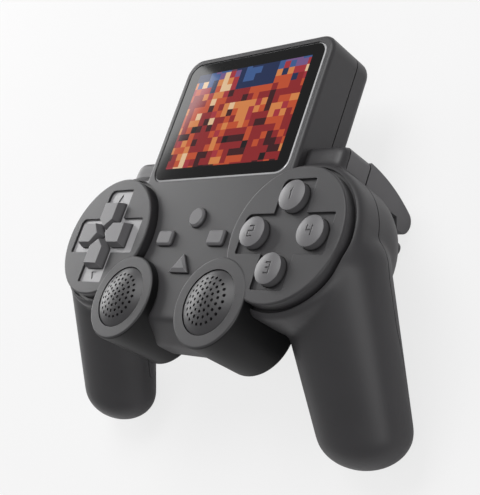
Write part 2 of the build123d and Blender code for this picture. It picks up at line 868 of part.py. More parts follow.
def board_components():
    """Chips, crystal, capacitors and the battery contacts on the back of the board."""
    low = board_back - chip_height
    chip = box_between((-chip_size / 2, chip_edge - chip_size, low), (chip_size / 2, chip_edge, board_back))
    chip = chamfer(chip.faces().sort_by(Axis.Z)[0].edges(), chip_height / 4)
    width, height, thick = memory_chip
    memory = box_between((-width / 2, -height, board_back - thick), (width / 2, 0, board_back))
    memory = Pos(0, -chip_size, 0) * memory
    can = Rot(90, 0, 0) * Cylinder(crystal_radius, crystal_length)
    crystal = Pos(chip_size, 0, board_back - crystal_radius) * can
    crystal = crystal - box_between(
        (chip_size - chip_size / 2, -chip_size, board_back), (2 * chip_size, chip_size, board_z)
    )
    caps = None
    for x in (-chip_size, -chip_size - 3 * capacitor_radius):
        cap = disc(capacitor_radius, board_back - capacitor_height, board_back, x, -capacitor_radius)
        caps = cap if caps is None else caps + cap
    return {"processor_chip": chip, "memory_chip": memory, "crystal": crystal, "capacitors": caps}


def battery_parts():
    half = battery_width / 2
    tall = battery_height / 2
    low = battery_low
    cell = box_between(
        (-half, battery_middle - tall, low),
        (half, battery_middle + tall, low + battery_thickness),
    )
    cell = fillet(cell.edges().filter_by(Axis.Y), battery_thickness / 2 - fit_gap)
    contacts = None
    spread = battery_width / 6
    y_wall = battery_middle + tall + bay_margin
    for x in (-spread, 0.0, spread):
        blade = box_between(
            (x - contact_width / 2, battery_middle + tall + fit_gap / 4, low + fit_gap),
            (x + contact_width / 2, y_wall, low + battery_thickness - fit_gap),
        )
        contacts = blade if contacts is None else contacts + blade
    cover = cover_outline(0.0, -block_depth, -block_depth + cover_thickness)
    thumb = Pos(0, battery_middle + tall - overrun, -block_depth - overrun / 2) * RectangleRounded(
        battery_width / 4, wall, wall / 2 - fit_gap
    )
    cover = cover - extrude(thumb, overrun)
    return {"battery": cell, "battery_contacts": contacts, "battery_cover": cover}


def port_parts():
    """Audio jack, charging socket, power switch and its sliding knob."""
    inner_wall = block_top - wall
    jack_z = board_back - jack_body / 2
    body = box_between(
        (jack_x - jack_body / 2, inner_wall - fit_gap - jack_length + wall, board_back - jack_body),
        (jack_x + jack_body / 2, inner_wall - fit_gap, board_back),
    )
    face = inner_wall - fit_gap
    nose = Pos(jack_x, face + wall / 2, jack_z) * Rot(90, 0, 0) * Cylinder(jack_nose_radius, wall)
    bore = Rot(90, 0, 0) * Cylinder(jack_bore_radius, jack_length)
    bore = Pos(jack_x, face + wall - jack_length / 2, jack_z) * bore
    deep = Pos(jack_x, inner_wall + overrun, jack_z) * Rot(90, 0, 0) * Cylinder(jack_bore_radius, 4 * overrun)
    jack = body + nose - bore - deep
    z = board_back - charge_height / 2
    shell = box_between(
        (charge_x - charge_width / 2, block_top - wall / 2 - charge_length, board_back - charge_height),
        (charge_x + charge_width / 2, block_top - wall / 2, board_back),
    )
    shell = fillet(shell.edges().filter_by(Axis.Y), charge_height / 2 - charge_shell_wall)
    hollow_w = charge_width - 2 * charge_shell_wall
    hollow_h = charge_height - 2 * charge_shell_wall
    hollow = Pos(charge_x, block_top - charge_length / 2, z) * Box(hollow_w, charge_length - wall, hollow_h)
    hollow = fillet(hollow.edges().filter_by(Axis.Y), hollow_h / 2 - charge_shell_wall)
    tongue = Pos(charge_x, block_top - wall - charge_length / 2, z) * Box(
        hollow_w - wall, charge_length - wall, charge_shell_wall * 2
    )
    charge = shell - hollow + tongue
    length, depth, height = switch_body
    switch_rear = inner_wall - fit_gap - depth
    case = box_between(
        (-length / 2, switch_rear, board_back - height),
        (length / 2, inner_wall - fit_gap, board_back),
    )
    channel = Pos(0, inner_wall - fit_gap, switch_z) * Box(
        switch_slot - fit_gap, depth, switch_knob_height / 2 + 2 * fit_gap
    )
    switch = case - channel
    start = -switch_travel / 2
    knob = Pos(start, inner_wall + (wall + switch_knob_rise) / 2, switch_z) * Box(
        switch_knob, wall + switch_knob_rise, switch_knob_height
    )
    knob = knob - knob_ribs(start, block_top + switch_knob_rise)
    stem = Pos(start, inner_wall - fit_gap - depth / 4 + fit_gap / 2, switch_z) * Box(
        switch_knob / 2, depth / 2 - fit_gap, switch_knob_height / 2
    )
    stem = stem + Pos(start, inner_wall - fit_gap / 2, switch_z) * Box(
        switch_knob / 2, 2 * fit_gap, switch_knob_height / 2
    )
    return {"audio_jack": jack, "charging_socket": charge, "power_switch": switch, "power_knob": knob + stem}


def knob_ribs(x, top):
    """Two grip grooves across the power knob."""
    cuts = None
    for step in (-1, 1):
        groove = Pos(x + step * switch_knob / 5, top, switch_z) * Box(
            switch_knob / 8, switch_knob_rise / 2, 2 * switch_knob_height
        )
        cuts = groove if cuts is None else cuts + groove
    return cuts


def shoulder_key():
    """Right shoulder key: a hollow cap that slides down on its bracket."""
    rear = -shoulder_key_front - shoulder_key_depth
    front = -shoulder_key_front - fit_gap / 2
    outline = shoulder_outline(fit_gap)
    cap = slab(outline, rear, front)
    skirt_low = shoulder_floor + shoulder_key_travel + seat_gap
    cap = cap - box_between(
        (shoulder_inner - overrun, shoulder_floor - overrun, rear - overrun),
        (shoulder_outer + overrun, skirt_low, front + overrun),
    )
    room = box_between(
        (shoulder_inner + fit_gap + shoulder_key_wall, shoulder_floor - overrun, rear + shoulder_key_wall),
        (
            shoulder_outer - fit_gap - shoulder_key_wall,
            shoulder_top - shoulder_key_wall - shoulder_corner / 2,
            front - shoulder_key_wall,
        ),
    )
    return cap - room


def trigger_profile(inset):
    """Side profile of the trigger: a fin that narrows in an arc to a round tail with a lip."""
    top = shoulder_top - fit_gap - inset
    front = -trigger_front - inset
    y, z = trigger_tail
    radius = trigger_tail_radius - inset
    low = trigger_low - 2 * inset
    turn = radians(trigger_crest_angle)
    crest = (y + radius * cos(turn), z - radius * sin(turn))
    middle = ((top + crest[0]) / 2 + trigger_wall, (front + crest[1]) / 2)
    with BuildSketch(Plane.YZ) as made:
        with BuildLine():
            Line((low, front), (top, front))
            ThreePointArc((top, front), middle, crest)
            ThreePointArc(crest, (y, z - radius), (y - radius, z))
            Line((y - radius, z), (y - radius, z + trigger_lip - inset))
            Line((y - radius, z + trigger_lip - inset), (low, z + 2 * trigger_lip - inset))
            Line((low, z + 2 * trigger_lip - inset), (low, front))
        make_face()
    return made.sketch


def trigger():
    """Right trigger: a hollow fin behind the shoulder key that turns on a pin."""
    left = shoulder_inner + fit_gap
    right = shoulder_outer - fit_gap
    body = Pos(left, 0, 0) * extrude(trigger_profile(0.0), right - left, dir=(1, 0, 0))
    edges = body.edges().filter_by(lambda e: e.center().X > right - overrun / 4)
    edges = edges.filter_by(lambda e: e.center().Y > trigger_low + wall)
    body = chamfer(edges.filter_by(lambda e: e.center().Z < -trigger_front - overrun), trigger_wall / 3)
    room = Pos(left + trigger_wall, 0, 0) * extrude(
        trigger_profile(trigger_wall), right - left - 2 * trigger_wall, dir=(1, 0, 0)
    )
    return body - [room, pin_cylinder(trigger_pin_radius + fit_gap / 4, fit_gap)]


def pin_cylinder(radius, extra=0.0):
    """Trigger pin along X, or its bore where it is given extra length."""
    length = shoulder_outer - shoulder_inner - 2 * fit_gap - trigger_wall + extra
    middle = (shoulder_inner + shoulder_outer) / 2
    return Pos(middle, trigger_pin_height, trigger_hinge_z) * Rot(0, 90, 0) * Cylinder(radius, length)


def shoulder_bracket():
    """Frame in the right shoulder: a floor, a post inside the key and an ear that carries the trigger's pin."""
    floor_low = shoulder_floor - wall
    rear = trigger_hinge_z - bracket_tail
    front = -shoulder_key_front
    left = shoulder_inner + seat_gap
    right = shoulder_outer - seat_gap
    floor_plate = box_between((left, floor_low, rear), (right, shoulder_floor, front))
    inner = shoulder_key_wall + fit_gap + 2 * slide_gap
    key_rear = -shoulder_key_front - shoulder_key_depth
    post_top = shoulder_top - shoulder_key_wall - shoulder_corner / 2 - shoulder_key_travel - seat_gap
    post = box_between(
        (shoulder_inner + inner + wall, shoulder_floor - overrun / 2, key_rear + inner + wall),
        (shoulder_outer - inner - wall, post_top, front - inner - wall),
    )
    middle = (shoulder_inner + shoulder_outer) / 2
    head_radius = 2 * trigger_pin_radius - 2 * fit_gap
    ear = box_between(
        (middle - wall, shoulder_floor - overrun / 2, trigger_hinge_z - head_radius),
        (middle + wall, trigger_pin_height, trigger_hinge_z + head_radius),
    )
    head = Pos(middle, trigger_pin_height, trigger_hinge_z) * Rot(0, 90, 0) * Cylinder(head_radius, 2 * wall)
    return floor_plate + [post, ear, head] - pin_cylinder(trigger_pin_radius + fit_gap / 20, 2 * wall)


def case_screws():
    """Case screws with crossed slots in their heads."""
    made = []
    slot = 2 * screw_head_radius + overrun
    for x, y, seat, *_ in screw_places():
        shank = disc(screw_radius, seat, seat + screw_length, x, y)
        head = disc(screw_head_radius, seat - screw_head_height, seat, x, y)
        at = Pos(x, y, seat - screw_head_height)
        made.append(shank + head - [at * Box(slot, 2 * fit_gap, overrun), at * Box(2 * fit_gap, slot, overrun)])
    return made[0] + made[1:]


def all_parts():
    """Every named piece in the face frame."""
    made = {}
    front, rear = case_parts()
    posts, bores = board_post_set()
    made["front_case"] = front + posts - bores
    made["rear_case"] = rear
    made.update(screen_parts())
    pad = pad_key()
    for name, turn in pad_turns.items():
        made[name] = Pos(-lobe_x, lobe_y, 0) * Rot(0, 0, turn) * pad
    for value, (name, turn) in enumerate(action_turns.items(), 1):
        button = Pos(0, action_offset, 0) * action_button(value, turn)
        made[name] = Pos(lobe_x, lobe_y, 0) * Rot(0, 0, turn) * button
    for name, outline in centre_outlines.items():
        made[name] = centre_key(outline, pyramid=name == "key_volume")
    made.update(membranes())
    sound = {"speaker_grille": grille(), "speaker": speaker(), "speaker_ring": speaker_ring()}
    for name, piece in sound.items():
        made[f"{name}_left"] = Pos(-collar_x, collar_y, 0) * piece
        made[f"{name}_right"] = Pos(collar_x, collar_y, 0) * piece
    shoulder = {
        "shoulder_key": shoulder_key(),
        "trigger": trigger(),
        "trigger_pin": pin_cylinder(trigger_pin_radius),
        "shoulder_bracket": shoulder_bracket(),
    }
    for name, piece in shoulder.items():
        made[f"{name}_left"] = mirror_x(piece)
        made[f"{name}_right"] = piece
    made["circuit_board"] = board()
    made["board_screws"] = board_fasteners()
    made.update(board_components())
    made.update(battery_parts())
    made.update(port_parts())
    made["case_screws"] = case_screws()
    return made


def rest_place():
    """Placement that lays the face-frame pieces on their back with the origin under the middle of the box."""
    tilt = rest_angle()
    low_z = grip_tip[2] * cos(tilt) - grip_tip[1] * sin(tilt) - grip_tip_radius
    low_y = grip_tip[1] * cos(tilt) + grip_tip[2] * sin(tilt) - grip_tip_radius
    edge_y = block_top - block_front_round
    high_y = edge_y * cos(tilt) - block_front_round * sin(tilt) + block_front_round
    return Pos(0, -(low_y + high_y) / 2, -low_z) * Rot(-degrees(tilt), 0, 0)


if __name__ == "__main__":
    os.makedirs("parts", exist_ok=True)
    placing = rest_place()
    for node, piece in all_parts().items():
        export_step(placing * piece, f"parts/{node}.step")
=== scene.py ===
"""Looks of a handheld game console: smooth case shells, materials, a pale stage and the camera.

Shapes are drawn in millimetres in the console's own face frame: +X to the player's right, +Y towards the top
of the screen, +Z out of the face, with the screen window at Z = 0. A finished shape is then laid on its back
in metres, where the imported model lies.
"""
import math

import bmesh
import bpy
from mathutils import Matrix, Vector


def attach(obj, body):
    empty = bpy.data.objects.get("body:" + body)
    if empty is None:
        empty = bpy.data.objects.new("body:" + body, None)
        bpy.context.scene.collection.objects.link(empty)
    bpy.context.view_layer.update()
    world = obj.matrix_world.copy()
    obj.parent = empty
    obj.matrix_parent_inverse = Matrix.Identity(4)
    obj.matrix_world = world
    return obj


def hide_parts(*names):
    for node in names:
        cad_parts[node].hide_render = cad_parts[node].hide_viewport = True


bl_info = {
    "name": "Handheld console looks",
    "version": (1, 0, 0),
    "blender": (4, 5, 0),
    "location": "View3D > Sidebar > Console",
    "description": "Smooth case shells, materials and a stage for a two-grip handheld console",
    "category": "Object",
}

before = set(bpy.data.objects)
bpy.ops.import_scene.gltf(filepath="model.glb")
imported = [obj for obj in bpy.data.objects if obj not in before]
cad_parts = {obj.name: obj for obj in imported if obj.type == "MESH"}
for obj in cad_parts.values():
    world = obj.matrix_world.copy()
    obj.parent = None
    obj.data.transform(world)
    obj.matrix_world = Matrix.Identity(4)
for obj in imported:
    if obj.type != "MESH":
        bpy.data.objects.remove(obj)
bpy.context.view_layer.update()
mm = 0.001

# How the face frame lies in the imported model
face_tilt_degrees = -5.414896
face_shift = (0.0, 5.78478, 49.109)
face_place = Matrix.Translation(face_shift) @ Matrix.Rotation(math.radians(face_tilt_degrees), 4, "X")
face_to_model = Matrix.Scale(mm, 4) @ face_place

# General clearances of the case
wall = 2.0
fit_gap = 0.2
overrun = 1.0

# Screen block
block_half_width = 40.8
block_top = 69.1
block_bottom = -6.0
block_depth = 22.9
block_corner = 7.5
block_front_round = 1.6
block_rear_round = 3.5

# Screen window
window_width = 75.0
window_height = 54.2
window_middle = 39.1
window_thickness = 1.6
window_corner = 5.5
window_ledge = 3.6
window_ledge_low = -2.8
window_ledge_high = -1.0
window_ledge_margin = 1.4
picture_width = 62.6
picture_height = 43.4

# Thumb lobes and the pods under them
lobe_x = 49.8
lobe_y = -13.0
lobe_radius = 25.5
lobe_rise = 3.2
lobe_round = 0.8
lobe_groove = 1.2
lobe_groove_depth = 1.8
pod_radius = 28.8
pod_shoulder = 2.8
pod_depth = 30.0
pod_rear_round = 13.0
pod_top_drop = 0.2

# Cross-shaped recesses and the marks in them
cross_reach = 20.3
cross_half_arm = 7.5
cross_depth = 1.0
cross_corner = 0.8
cross_lit_corner = 2.6
mark_half = 1.7
mark_middle = 17.2
mark_depth = 0.35

# Speaker collars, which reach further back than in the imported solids
collar_x = 24.9
collar_y = -38.7
collar_radius = 16.9
collar_rise = 3.5
collar_round = 0.9
collar_depth = 24.8
collar_rear_round = 1.6
grille_radius = 12.0

# Centre body with its sloping chin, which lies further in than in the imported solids
centre_half_width = 40.0
centre_top = 14.0
chin_front = -45.0
chin_rear = -51.5
chin_slope_depth = 12.0
chin_corner = 17.0
centre_depth = 25.0

# Grips
grip_root = Vector((61.0, -19.4, -11.7))
grip_tip = Vector((67.2, -63.6, -42.4))
grip_root_radius = 15.5
grip_tip_radius = 12.9
grip_breadth_share = 1.42

# Parting surface between the two shells: (Y, Z) points from the top down, through the grips and the chin,
# and the X between which one turns into the other
grip_parting = ((-8.0, -10.0), (-20.0, -15.5), (-33.0, -24.5), (-49.0, -40.0), (-80.0, -66.0))
chin_parting = ((-8.0, -14.4), (-20.0, -14.4), (-27.0, -25.6), (-50.0, -27.0), (-80.0, -40.0))
parting_blend = (41.0, 50.0)
parting_reach = 138.2

# Shoulder humps and the room behind them for the keys and triggers
shoulder_inner = 41.4
shoulder_outer = 58.0
shoulder_top = 24.8
shoulder_floor = 8.5
shoulder_front = -4.4
shoulder_notch_front = -7.3
shoulder_corner = 3.0
shoulder_inner_corner = 1.0
shoulder_seam = 0.6

# Key holes
key_gap = 0.15
pad_outer = 13.2
pad_half_width = 4.1
pad_shoulder = 6.0
pad_point = 2.8
pad_draft = 0.9
action_offset = 13.3
action_radius = 5.6
reset_y = -4.9
reset_radius = 3.9
menu_x = 14.3
menu_y = -13.2
menu_width = 8.6
menu_height = 6.0
menu_corner = 1.4
volume_y = -23.4
volume_half_width = 5.2
volume_half_height = 3.6

# Ports in the top wall, each placed by X and Z
port_y = 68.1
port_reach = 3.0
jack_place = (22.0, -11.6)
jack_radius = 2.9
charge_place = (-22.0, -10.2)
charge_half = (4.65, 1.8)
slot_place = (0.0, -10.3)
slot_half = (4.0, 1.3)
slot_corner = 0.4

# Battery bay and the screw pockets in the back
bay_middle = 37.0
bay_half = (27.3, 17.8)
bay_top = -15.4
bay_wall = 1.2
cover_half = (29.5, 20.0)
cover_corner = 3.0
cover_seat = -21.1
# Each screw on the right: X, Y, the depth of its seat and the depth of the parting surface above it
screw_places = (
    (36.0, 19.0, -20.1, -14.4),
    (36.0, 61.5, -20.1, -14.4),
    (71.0, -5.0, -26.42, -10.0),
    (65.0, -50.0, -45.84, -41.1),
)
screw_pocket_radius = 2.0
screw_hole_radius = screw_pocket_radius - wall / 3
screw_post_radius = 2.9

# How near a face must be to a painted region, and how much it must face the front: 1 is straight, -1 away
region_reach = fit_gap / 4
recess_lean = 0.9
collar_lean = -0.5

# Fineness of the drawn shapes, and how the melted body and the finished shells are smoothed
arc_steps = 8
turn_steps = 96
weld_distance = 0.00001
ease_factor = 0.5
fold_degrees = 38
normal_weight = 90

white = (1.0, 1.0, 1.0, 1.0)
black = (0.0, 0.0, 0.0, 1.0)

# Moulded plastic: flow marks as long as real ones, edges made lighter partly by wear and partly as painted
# highlight, and hollows made darker in their last millimetre partly by dirt and partly as painted shade.
# Each range goes with the tints or shade under it. The grain of each piece is drawn two to four times coarser
# than real, to show.
flow_mark = 22 * mm
flow_range = (0.35, 0.68)
flow_tint = (0.94, 1.06)
edge_bend = (0.80, 0.985)
hollow_reach = 0.9 * mm
hollow_range = (0.40, 0.93)
hollow_shade = 0.12
plastic_gloss_spread = 0.05

# Other finishes. Streaks and weave are drawn about four times coarser than real, to show; one cell of the
# weave is half a pitch wide.
streak_width = mm / 12
streak_length = mm / 0.9
metal_gloss_spread = 0.08
weave_pitch = 4 * mm
weave_tint = 1.2
cloud_size = 3 * mm
cloud_range = (0.3, 0.7)
cloud_tint = 0.9
floor_grain = 2 * mm
polish_per_mm = 0.8

# Lean of the window's bevel against the face, as a cosine, and how far a face may be from it
bevel_lean = math.sqrt(0.5)
bevel_lean_reach = 0.2

# Mosaic of the display: patches of colour about 18 mm long, how far odd cells stray from them, the height
# from which the colours turn cool, and the colours by level
patches_per_mm = 0.055
odd_cell_share = 0.045
sky_height = window_middle - picture_height / 5
warm_picture = (
    (0.0, "#160d10"), (0.38, "#3d1418"), (0.44, "#8f2326"), (0.50, "#c4502c"),
    (0.55, "#d9864a"), (0.60, "#a8303a"), (0.66, "#e8c49a"), (0.70, "#6a4050"),
)
cool_picture = ((0.0, "#1d2c52"), (0.5, "#3c5c92"), (0.6, "#77588a"), (0.7, "#c9a48a"))

# Camera that matches the photograph's view, in the face frame; its near limit is in metres
camera_place = Vector((279.8, -115.2, 214.2))
camera_turns = (-0.818, -0.434, -0.003)
camera_lens = 72.71
camera_sensor = 36.0
camera_near = 0.01

# Stage in metres: the floor's radius, how far off the lamps hang, and each lamp's direction, width and height
floor_reach = 4.0
lamp_distance = 0.8
lamps = {
    "key": (Vector((-0.10, 0.50, 0.86)), 0.5, 0.5),
    "left": (Vector((-0.93, 0.28, 0.24)), 0.5, 0.5),
    "side": (Vector((0.66, -0.38, 0.65)), 0.3, 0.6),
}

# White of the floor's glow and of the room behind it, and how much of both shows in mirrored rays
floor_white = 0.96
room_white = 0.93
mirrored_background = 0.15


def linear(code):
    """Linear colour with full alpha from an sRGB hex code."""
    channels = [int(code[i : i + 2], 16) / 255 for i in (1, 3, 5)]
    return [c / 12.92 if c <= 0.04045 else ((c + 0.055) / 1.055) ** 2.4 for c in channels] + [1.0]


def mesh_object(name, mesh):
    """Object that holds a mesh, in the scene."""
    obj = bpy.data.objects.new(name, mesh)
    bpy.context.scene.collection.objects.link(obj)
    return obj


def lofted(rings, name="tool"):
    """Closed mesh object through rings of equally many points, with both ends filled."""
    count = len(rings[0])
    points = [point for one in rings for point in one]
    faces = []
    for row in range(len(rings) - 1):
        for i in range(count):
            j = (i + 1) % count
            faces.append((row * count + i, row * count + j, (row + 1) * count + j, (row + 1) * count + i))
    faces.append(tuple(reversed(range(count))))
    faces.append(tuple(range((len(rings) - 1) * count, len(rings) * count)))
    mesh = bpy.data.meshes.new(name)
    mesh.from_pydata(points, [], faces)
    shape = bmesh.new()
    shape.from_mesh(mesh)
    bmesh.ops.remove_doubles(shape, verts=shape.verts, dist=weld_distance)
    bmesh.ops.recalc_face_normals(shape, faces=shape.faces)
    shape.to_mesh(mesh)
    shape.free()
    return mesh_object(name, mesh)


def at_depth(outline, z):
    return [(x, y, z) for x, y in outline]


def prism(outline, low, high):
    return lofted([at_depth(outline, low), at_depth(outline, high)])


def circle(radius, x=0.0, y=0.0, steps=turn_steps):
    turns = [2 * math.pi * i / steps for i in range(steps)]
    return [(x + radius * math.cos(t), y + radius * math.sin(t)) for t in turns]


def disc(radius, low, high, x=0.0, y=0.0):
    return prism(circle(radius, x, y), low, high)


def turned(profile, x=0.0, y=0.0):
    """Shape turned about a line along Z, from (radius, depth) pairs that start and end on the line."""
    return lofted([at_depth(circle(radius, x, y), z) for radius, z in profile])


def arc(centre, radius, start, sweep, steps=arc_steps):
    """Points of an arc, with angles in degrees."""
    turns = [math.radians(start + sweep * i / steps) for i in range(steps + 1)]
    return [(centre[0] + radius * math.cos(t), centre[1] + radius * math.sin(t)) for t in turns]


def rounded(corners, radii):
    """Closed outline whose corners are rounded, each by its own radius."""
    outline = []
    for i, corner in enumerate(corners):
        if radii[i] <= 0:
            outline.append(corner)
            continue
        here = Vector(corner)
        back = (Vector(corners[i - 1]) - here).normalized()
        ahead = (Vector(corners[(i + 1) % len(corners)]) - here).normalized()
        half = back.angle(ahead) / 2
        centre = here + (back + ahead).normalized() * radii[i] / math.sin(half)
        start = here + back * radii[i] / math.tan(half) - centre
        end = here + ahead * radii[i] / math.tan(half) - centre
        first = math.degrees(math.atan2(start.y, start.x))
        sweep = (math.degrees(math.atan2(end.y, end.x)) - first + 180) % 360 - 180
        outline += arc(centre, radii[i], first, sweep)
    return outline


def square_corners(left, low, right, high):
    return [(left, low), (right, low), (right, high), (left, high)]


def rectangle(half_width, half_height, x=0.0, y=0.0):
    return square_corners(x - half_width, y - half_height, x + half_width, y + half_height)


def rounded_rectangle(half_width, half_height, corner, x=0.0, y=0.0):
    return rounded(rectangle(half_width, half_height, x, y), [corner] * 4)


def along_y(outline):
    """Prism through the top wall of the block from an (x, z) outline."""
    return lofted([[(x, port_y + step, z) for x, z in outline] for step in (-port_reach, port_reach)])


def apply_modifiers(obj):
    """Replaces an object's mesh by the one its modifiers give."""
    bpy.context.view_layer.update()
    seen = obj.evaluated_get(bpy.context.evaluated_depsgraph_get())
    mesh = bpy.data.meshes.new_from_object(seen)
    old = obj.data
    obj.modifiers.clear()
    obj.data = mesh
    bpy.data.meshes.remove(old)


def combine(target, tools, operation):
    """Joins, cuts or limits a solid by others, one after another, and removes those."""
    for tool in tools:
        step = target.modifiers.new(operation.lower(), "BOOLEAN")
        step.operation = operation
        step.solver = "MANIFOLD"
        step.object = tool
        apply_modifiers(target)
        bpy.data.meshes.remove(tool.data)
    if not target.data.polygons:
        raise RuntimeError(f"nothing is left of {target.name} after {operation}")
    return target


def flipped(obj):
    """Copy of an object mirrored to the other side of the console."""
    mesh = obj.data.copy()
    mesh.transform(Matrix.Scale(-1, 4, (1, 0, 0)))
    mesh.flip_normals()
    return mesh_object(obj.name, mesh)


def with_mirror(make, *values):
    """A shape on the right side and its mirror on the left side."""
    right = make(*values)
    return [right, flipped(right)]


def screen_block(inset):
    """Screen block, or the hollow inside its walls."""

    def outline(less):
        half = block_half_width - inset - less
        top = block_top - inset - less
        corner = block_corner - inset - less
        return rounded(square_corners(-half, block_bottom, half, top), [0, 0, corner, corner])

    if inset:
        return prism(outline(0), -block_depth + inset, -inset)
    rings = []
    for less, rise in arc((0, 0), block_rear_round, -90, 90):
        rings.append(at_depth(outline(block_rear_round - less), -block_depth + block_rear_round + rise))
    for less, rise in arc((0, 0), block_front_round, 0, 90):
        rings.append(at_depth(outline(block_front_round - less), -block_front_round + rise))
    return lofted(rings)


def rounded_disc(radius, low, high, rear_round, front_round, x, y):
    """Turned disc with a rounded rear and front edge."""
    profile = [(0, low), (radius, low)]
    if rear_round:
        profile[1:] = arc((radius - rear_round, low + rear_round), rear_round, -90, 90)
    profile += arc((radius - front_round, high - front_round), front_round, 0, 90)
    return turned(profile + [(0, high)], x, y)


def pod(inset):
    """Round body under the right lobe."""
    radius = pod_radius - inset
    top = -pod_top_drop - inset
    rear = pod_rear_round - inset
    front = pod_shoulder - inset / 2
    return rounded_disc(radius, -pod_depth + inset, top, rear, front, lobe_x, lobe_y)


def grip(inset):
    """Right grip: a turned taper with round ends, broadened across its axis."""
    run = grip_tip - grip_root
    root = grip_root_radius - inset
    tip = grip_tip_radius - inset
    lean = math.degrees(math.asin((root - tip) / run.length))
    profile = arc((0, 0), root, -90, 90 + lean, 3 * arc_steps)
    profile += arc((0, run.length), tip, lean, 90 - lean, 3 * arc_steps)
    shape = turned(profile)
    along = run.normalized()
    across = (Vector((1, 0, 0)) - along * along.x).normalized()
    turn = Matrix((across * grip_breadth_share, along.cross(across), along)).transposed()
    shape.data.transform(Matrix.Translation(grip_root) @ turn.to_4x4())
    return shape


def centre_body(inset):
    """Body between the lobes, with the chin that slopes back between the collars."""
    side = centre_half_width - inset
    low = chin_rear + inset
    quarter = chin_slope_depth / 4
    profile = [
        (centre_top, -inset),
        (chin_front + inset, -inset),
        (low, -chin_slope_depth),
        (low, -centre_depth + quarter),
        (low + quarter, -centre_depth + inset),
        (centre_top, -centre_depth + inset),
    ]
    body = lofted([[(x, y, z) for y, z in profile] for x in (-side, side)])
    corner = chin_corner - inset
    plan = rounded(square_corners(-side, low, side, centre_top), [corner, corner, 0, 0])
    return combine(body, [prism(plan, -centre_depth - overrun, overrun)], "INTERSECT")


def collar(inset):
    """Right speaker collar, down to the back of the body."""
    if inset:
        return disc(collar_radius - inset, -collar_depth + inset, collar_rise - inset, collar_x, collar_y)
    rounds = (collar_rear_round, collar_round)
    return rounded_disc(collar_radius, -collar_depth, collar_rise, *rounds, collar_x, collar_y)


def lobe(inset):
    """Raised disc that carries the keys."""
    if inset:
        return disc(lobe_radius - inset, -2 * lobe_rise, lobe_rise - cross_depth - inset, lobe_x, lobe_y)
    return rounded_disc(lobe_radius, -2 * lobe_rise, lobe_rise, 0, lobe_round, lobe_x, lobe_y)


def shoulder_hump():
    """Fixed front of the right shoulder, rooted in the block's wall and deep enough to be cut behind."""
    root = shoulder_inner - 2 * wall
    outline = square_corners(root, shoulder_floor - 2 * wall, shoulder_outer, shoulder_top)
    rings = []
    for less, rise in arc((0, 0), shoulder_corner, 0, 90):
        inset = shoulder_corner - less
        half_in = [(x + (inset / 2 if x < shoulder_outer else -inset), y) for x, y in outline]
        shrunk = [(x, y - (inset if y > shoulder_floor else 0)) for x, y in half_in]
        front = shoulder_front - shoulder_corner + rise
        rings.append(at_depth(rounded(shrunk, [0, 0, shoulder_corner, shoulder_inner_corner]), front))
    plan = rounded(outline, [0, 0, shoulder_corner, shoulder_inner_corner])
    deep = at_depth(plan, shoulder_notch_front - 3 * shoulder_corner)
    return lofted([deep] + rings)


def shoulder_notch(grow=0.0):
    """Room in the right shoulder for the key, the trigger and their bracket; grown, the walls around it."""
    left = shoulder_inner - shoulder_seam / 2 - grow
    right = shoulder_outer + shoulder_seam / 2 + grow
    outline = square_corners(left, shoulder_floor - wall - grow, right, shoulder_top + overrun)
    return prism(outline, -pod_depth - overrun, shoulder_notch_front + grow)


def front_side(shift):
    """Tool that holds everything on the face's side of the parting surface, moved along Z."""
    far = parting_reach

    def section(x, points):
        path = [(far, block_depth), (far, points[0][1] + shift)]
        path += [(y, z + shift) for y, z in points]
        path += [(-far, points[-1][1] - far / 4 + shift), (-far, block_depth)]
        return [(x, y, z) for y, z in path]

    inner, outer = parting_blend
    places = (-far, -outer, -inner, inner, outer, far)
    profiles = (grip_parting, grip_parting, chin_parting, chin_parting, grip_parting, grip_parting)
    return lofted([section(x, points) for x, points in zip(places, profiles)])


def cross_outline():
    """Cross-shaped recess about the origin; the corners that catch the light are the rounder ones."""
    reach, half = cross_reach, cross_half_arm
    corners = [
        (half, half), (half, reach), (-half, reach), (-half, half),
        (-reach, half), (-reach, -half), (-half, -half), (-half, -reach),
        (half, -reach), (half, -half), (reach, -half), (reach, half),
    ]
    lit = {(-half, reach), (-reach, half)}
    inner = {(half, half), (-half, half), (-half, -half), (half, -half)}
    radii = [cross_lit_corner if c in lit else 0 if c in inner else cross_corner for c in corners]
    return rounded(corners, radii)


def turned_about(outline, degrees, x, y):
    """Outline turned about the origin and then moved."""
    turn = Matrix.Rotation(math.radians(degrees), 2)
    return [tuple((turn @ Vector(point)) + Vector((x, y))) for point in outline]


def pentagon(grow):
    half = pad_half_width + grow
    corner = pad_shoulder - grow * math.tan(math.pi / 8)
    top = pad_outer + grow
    return [(-half, top), (-half, corner), (0, pad_point - grow * math.sqrt(2)), (half, corner), (half, top)]


def key_holes():
    """Holes in the face for all keys and both grilles."""
    under = lobe_rise - cross_depth - 2 * wall
    above = lobe_rise + overrun
    tools = []
    for quarter in range(4):
        pad = turned_about(pentagon(pad_draft + key_gap), 90 * quarter, -lobe_x, lobe_y)
        tools.append(prism(pad, under, above))
        button = turned_about(circle(action_radius + key_gap, 0, action_offset), 90 * quarter, lobe_x, lobe_y)
        tools.append(prism(button, under, above))
    half_w = volume_half_width + key_gap * math.sqrt(2)
    low = volume_y - volume_half_height - key_gap
    high = volume_y + volume_half_height + key_gap * math.sqrt(2)
    outlines = [circle(reset_radius + key_gap, 0, reset_y), [(-half_w, low), (half_w, low), (0, high)]]
    for side in (-1, 1):
        half = (menu_width / 2 + key_gap, menu_height / 2 + key_gap)
        outlines.append(rounded_rectangle(*half, menu_corner + key_gap, side * menu_x, menu_y))
    tools += [prism(outline, -2 * wall, overrun) for outline in outlines]
    for side in (-1, 1):
        grille = circle(grille_radius + fit_gap, side * collar_x, collar_y)
        tools.append(prism(grille, -2 * wall, collar_rise + overrun))
    return tools


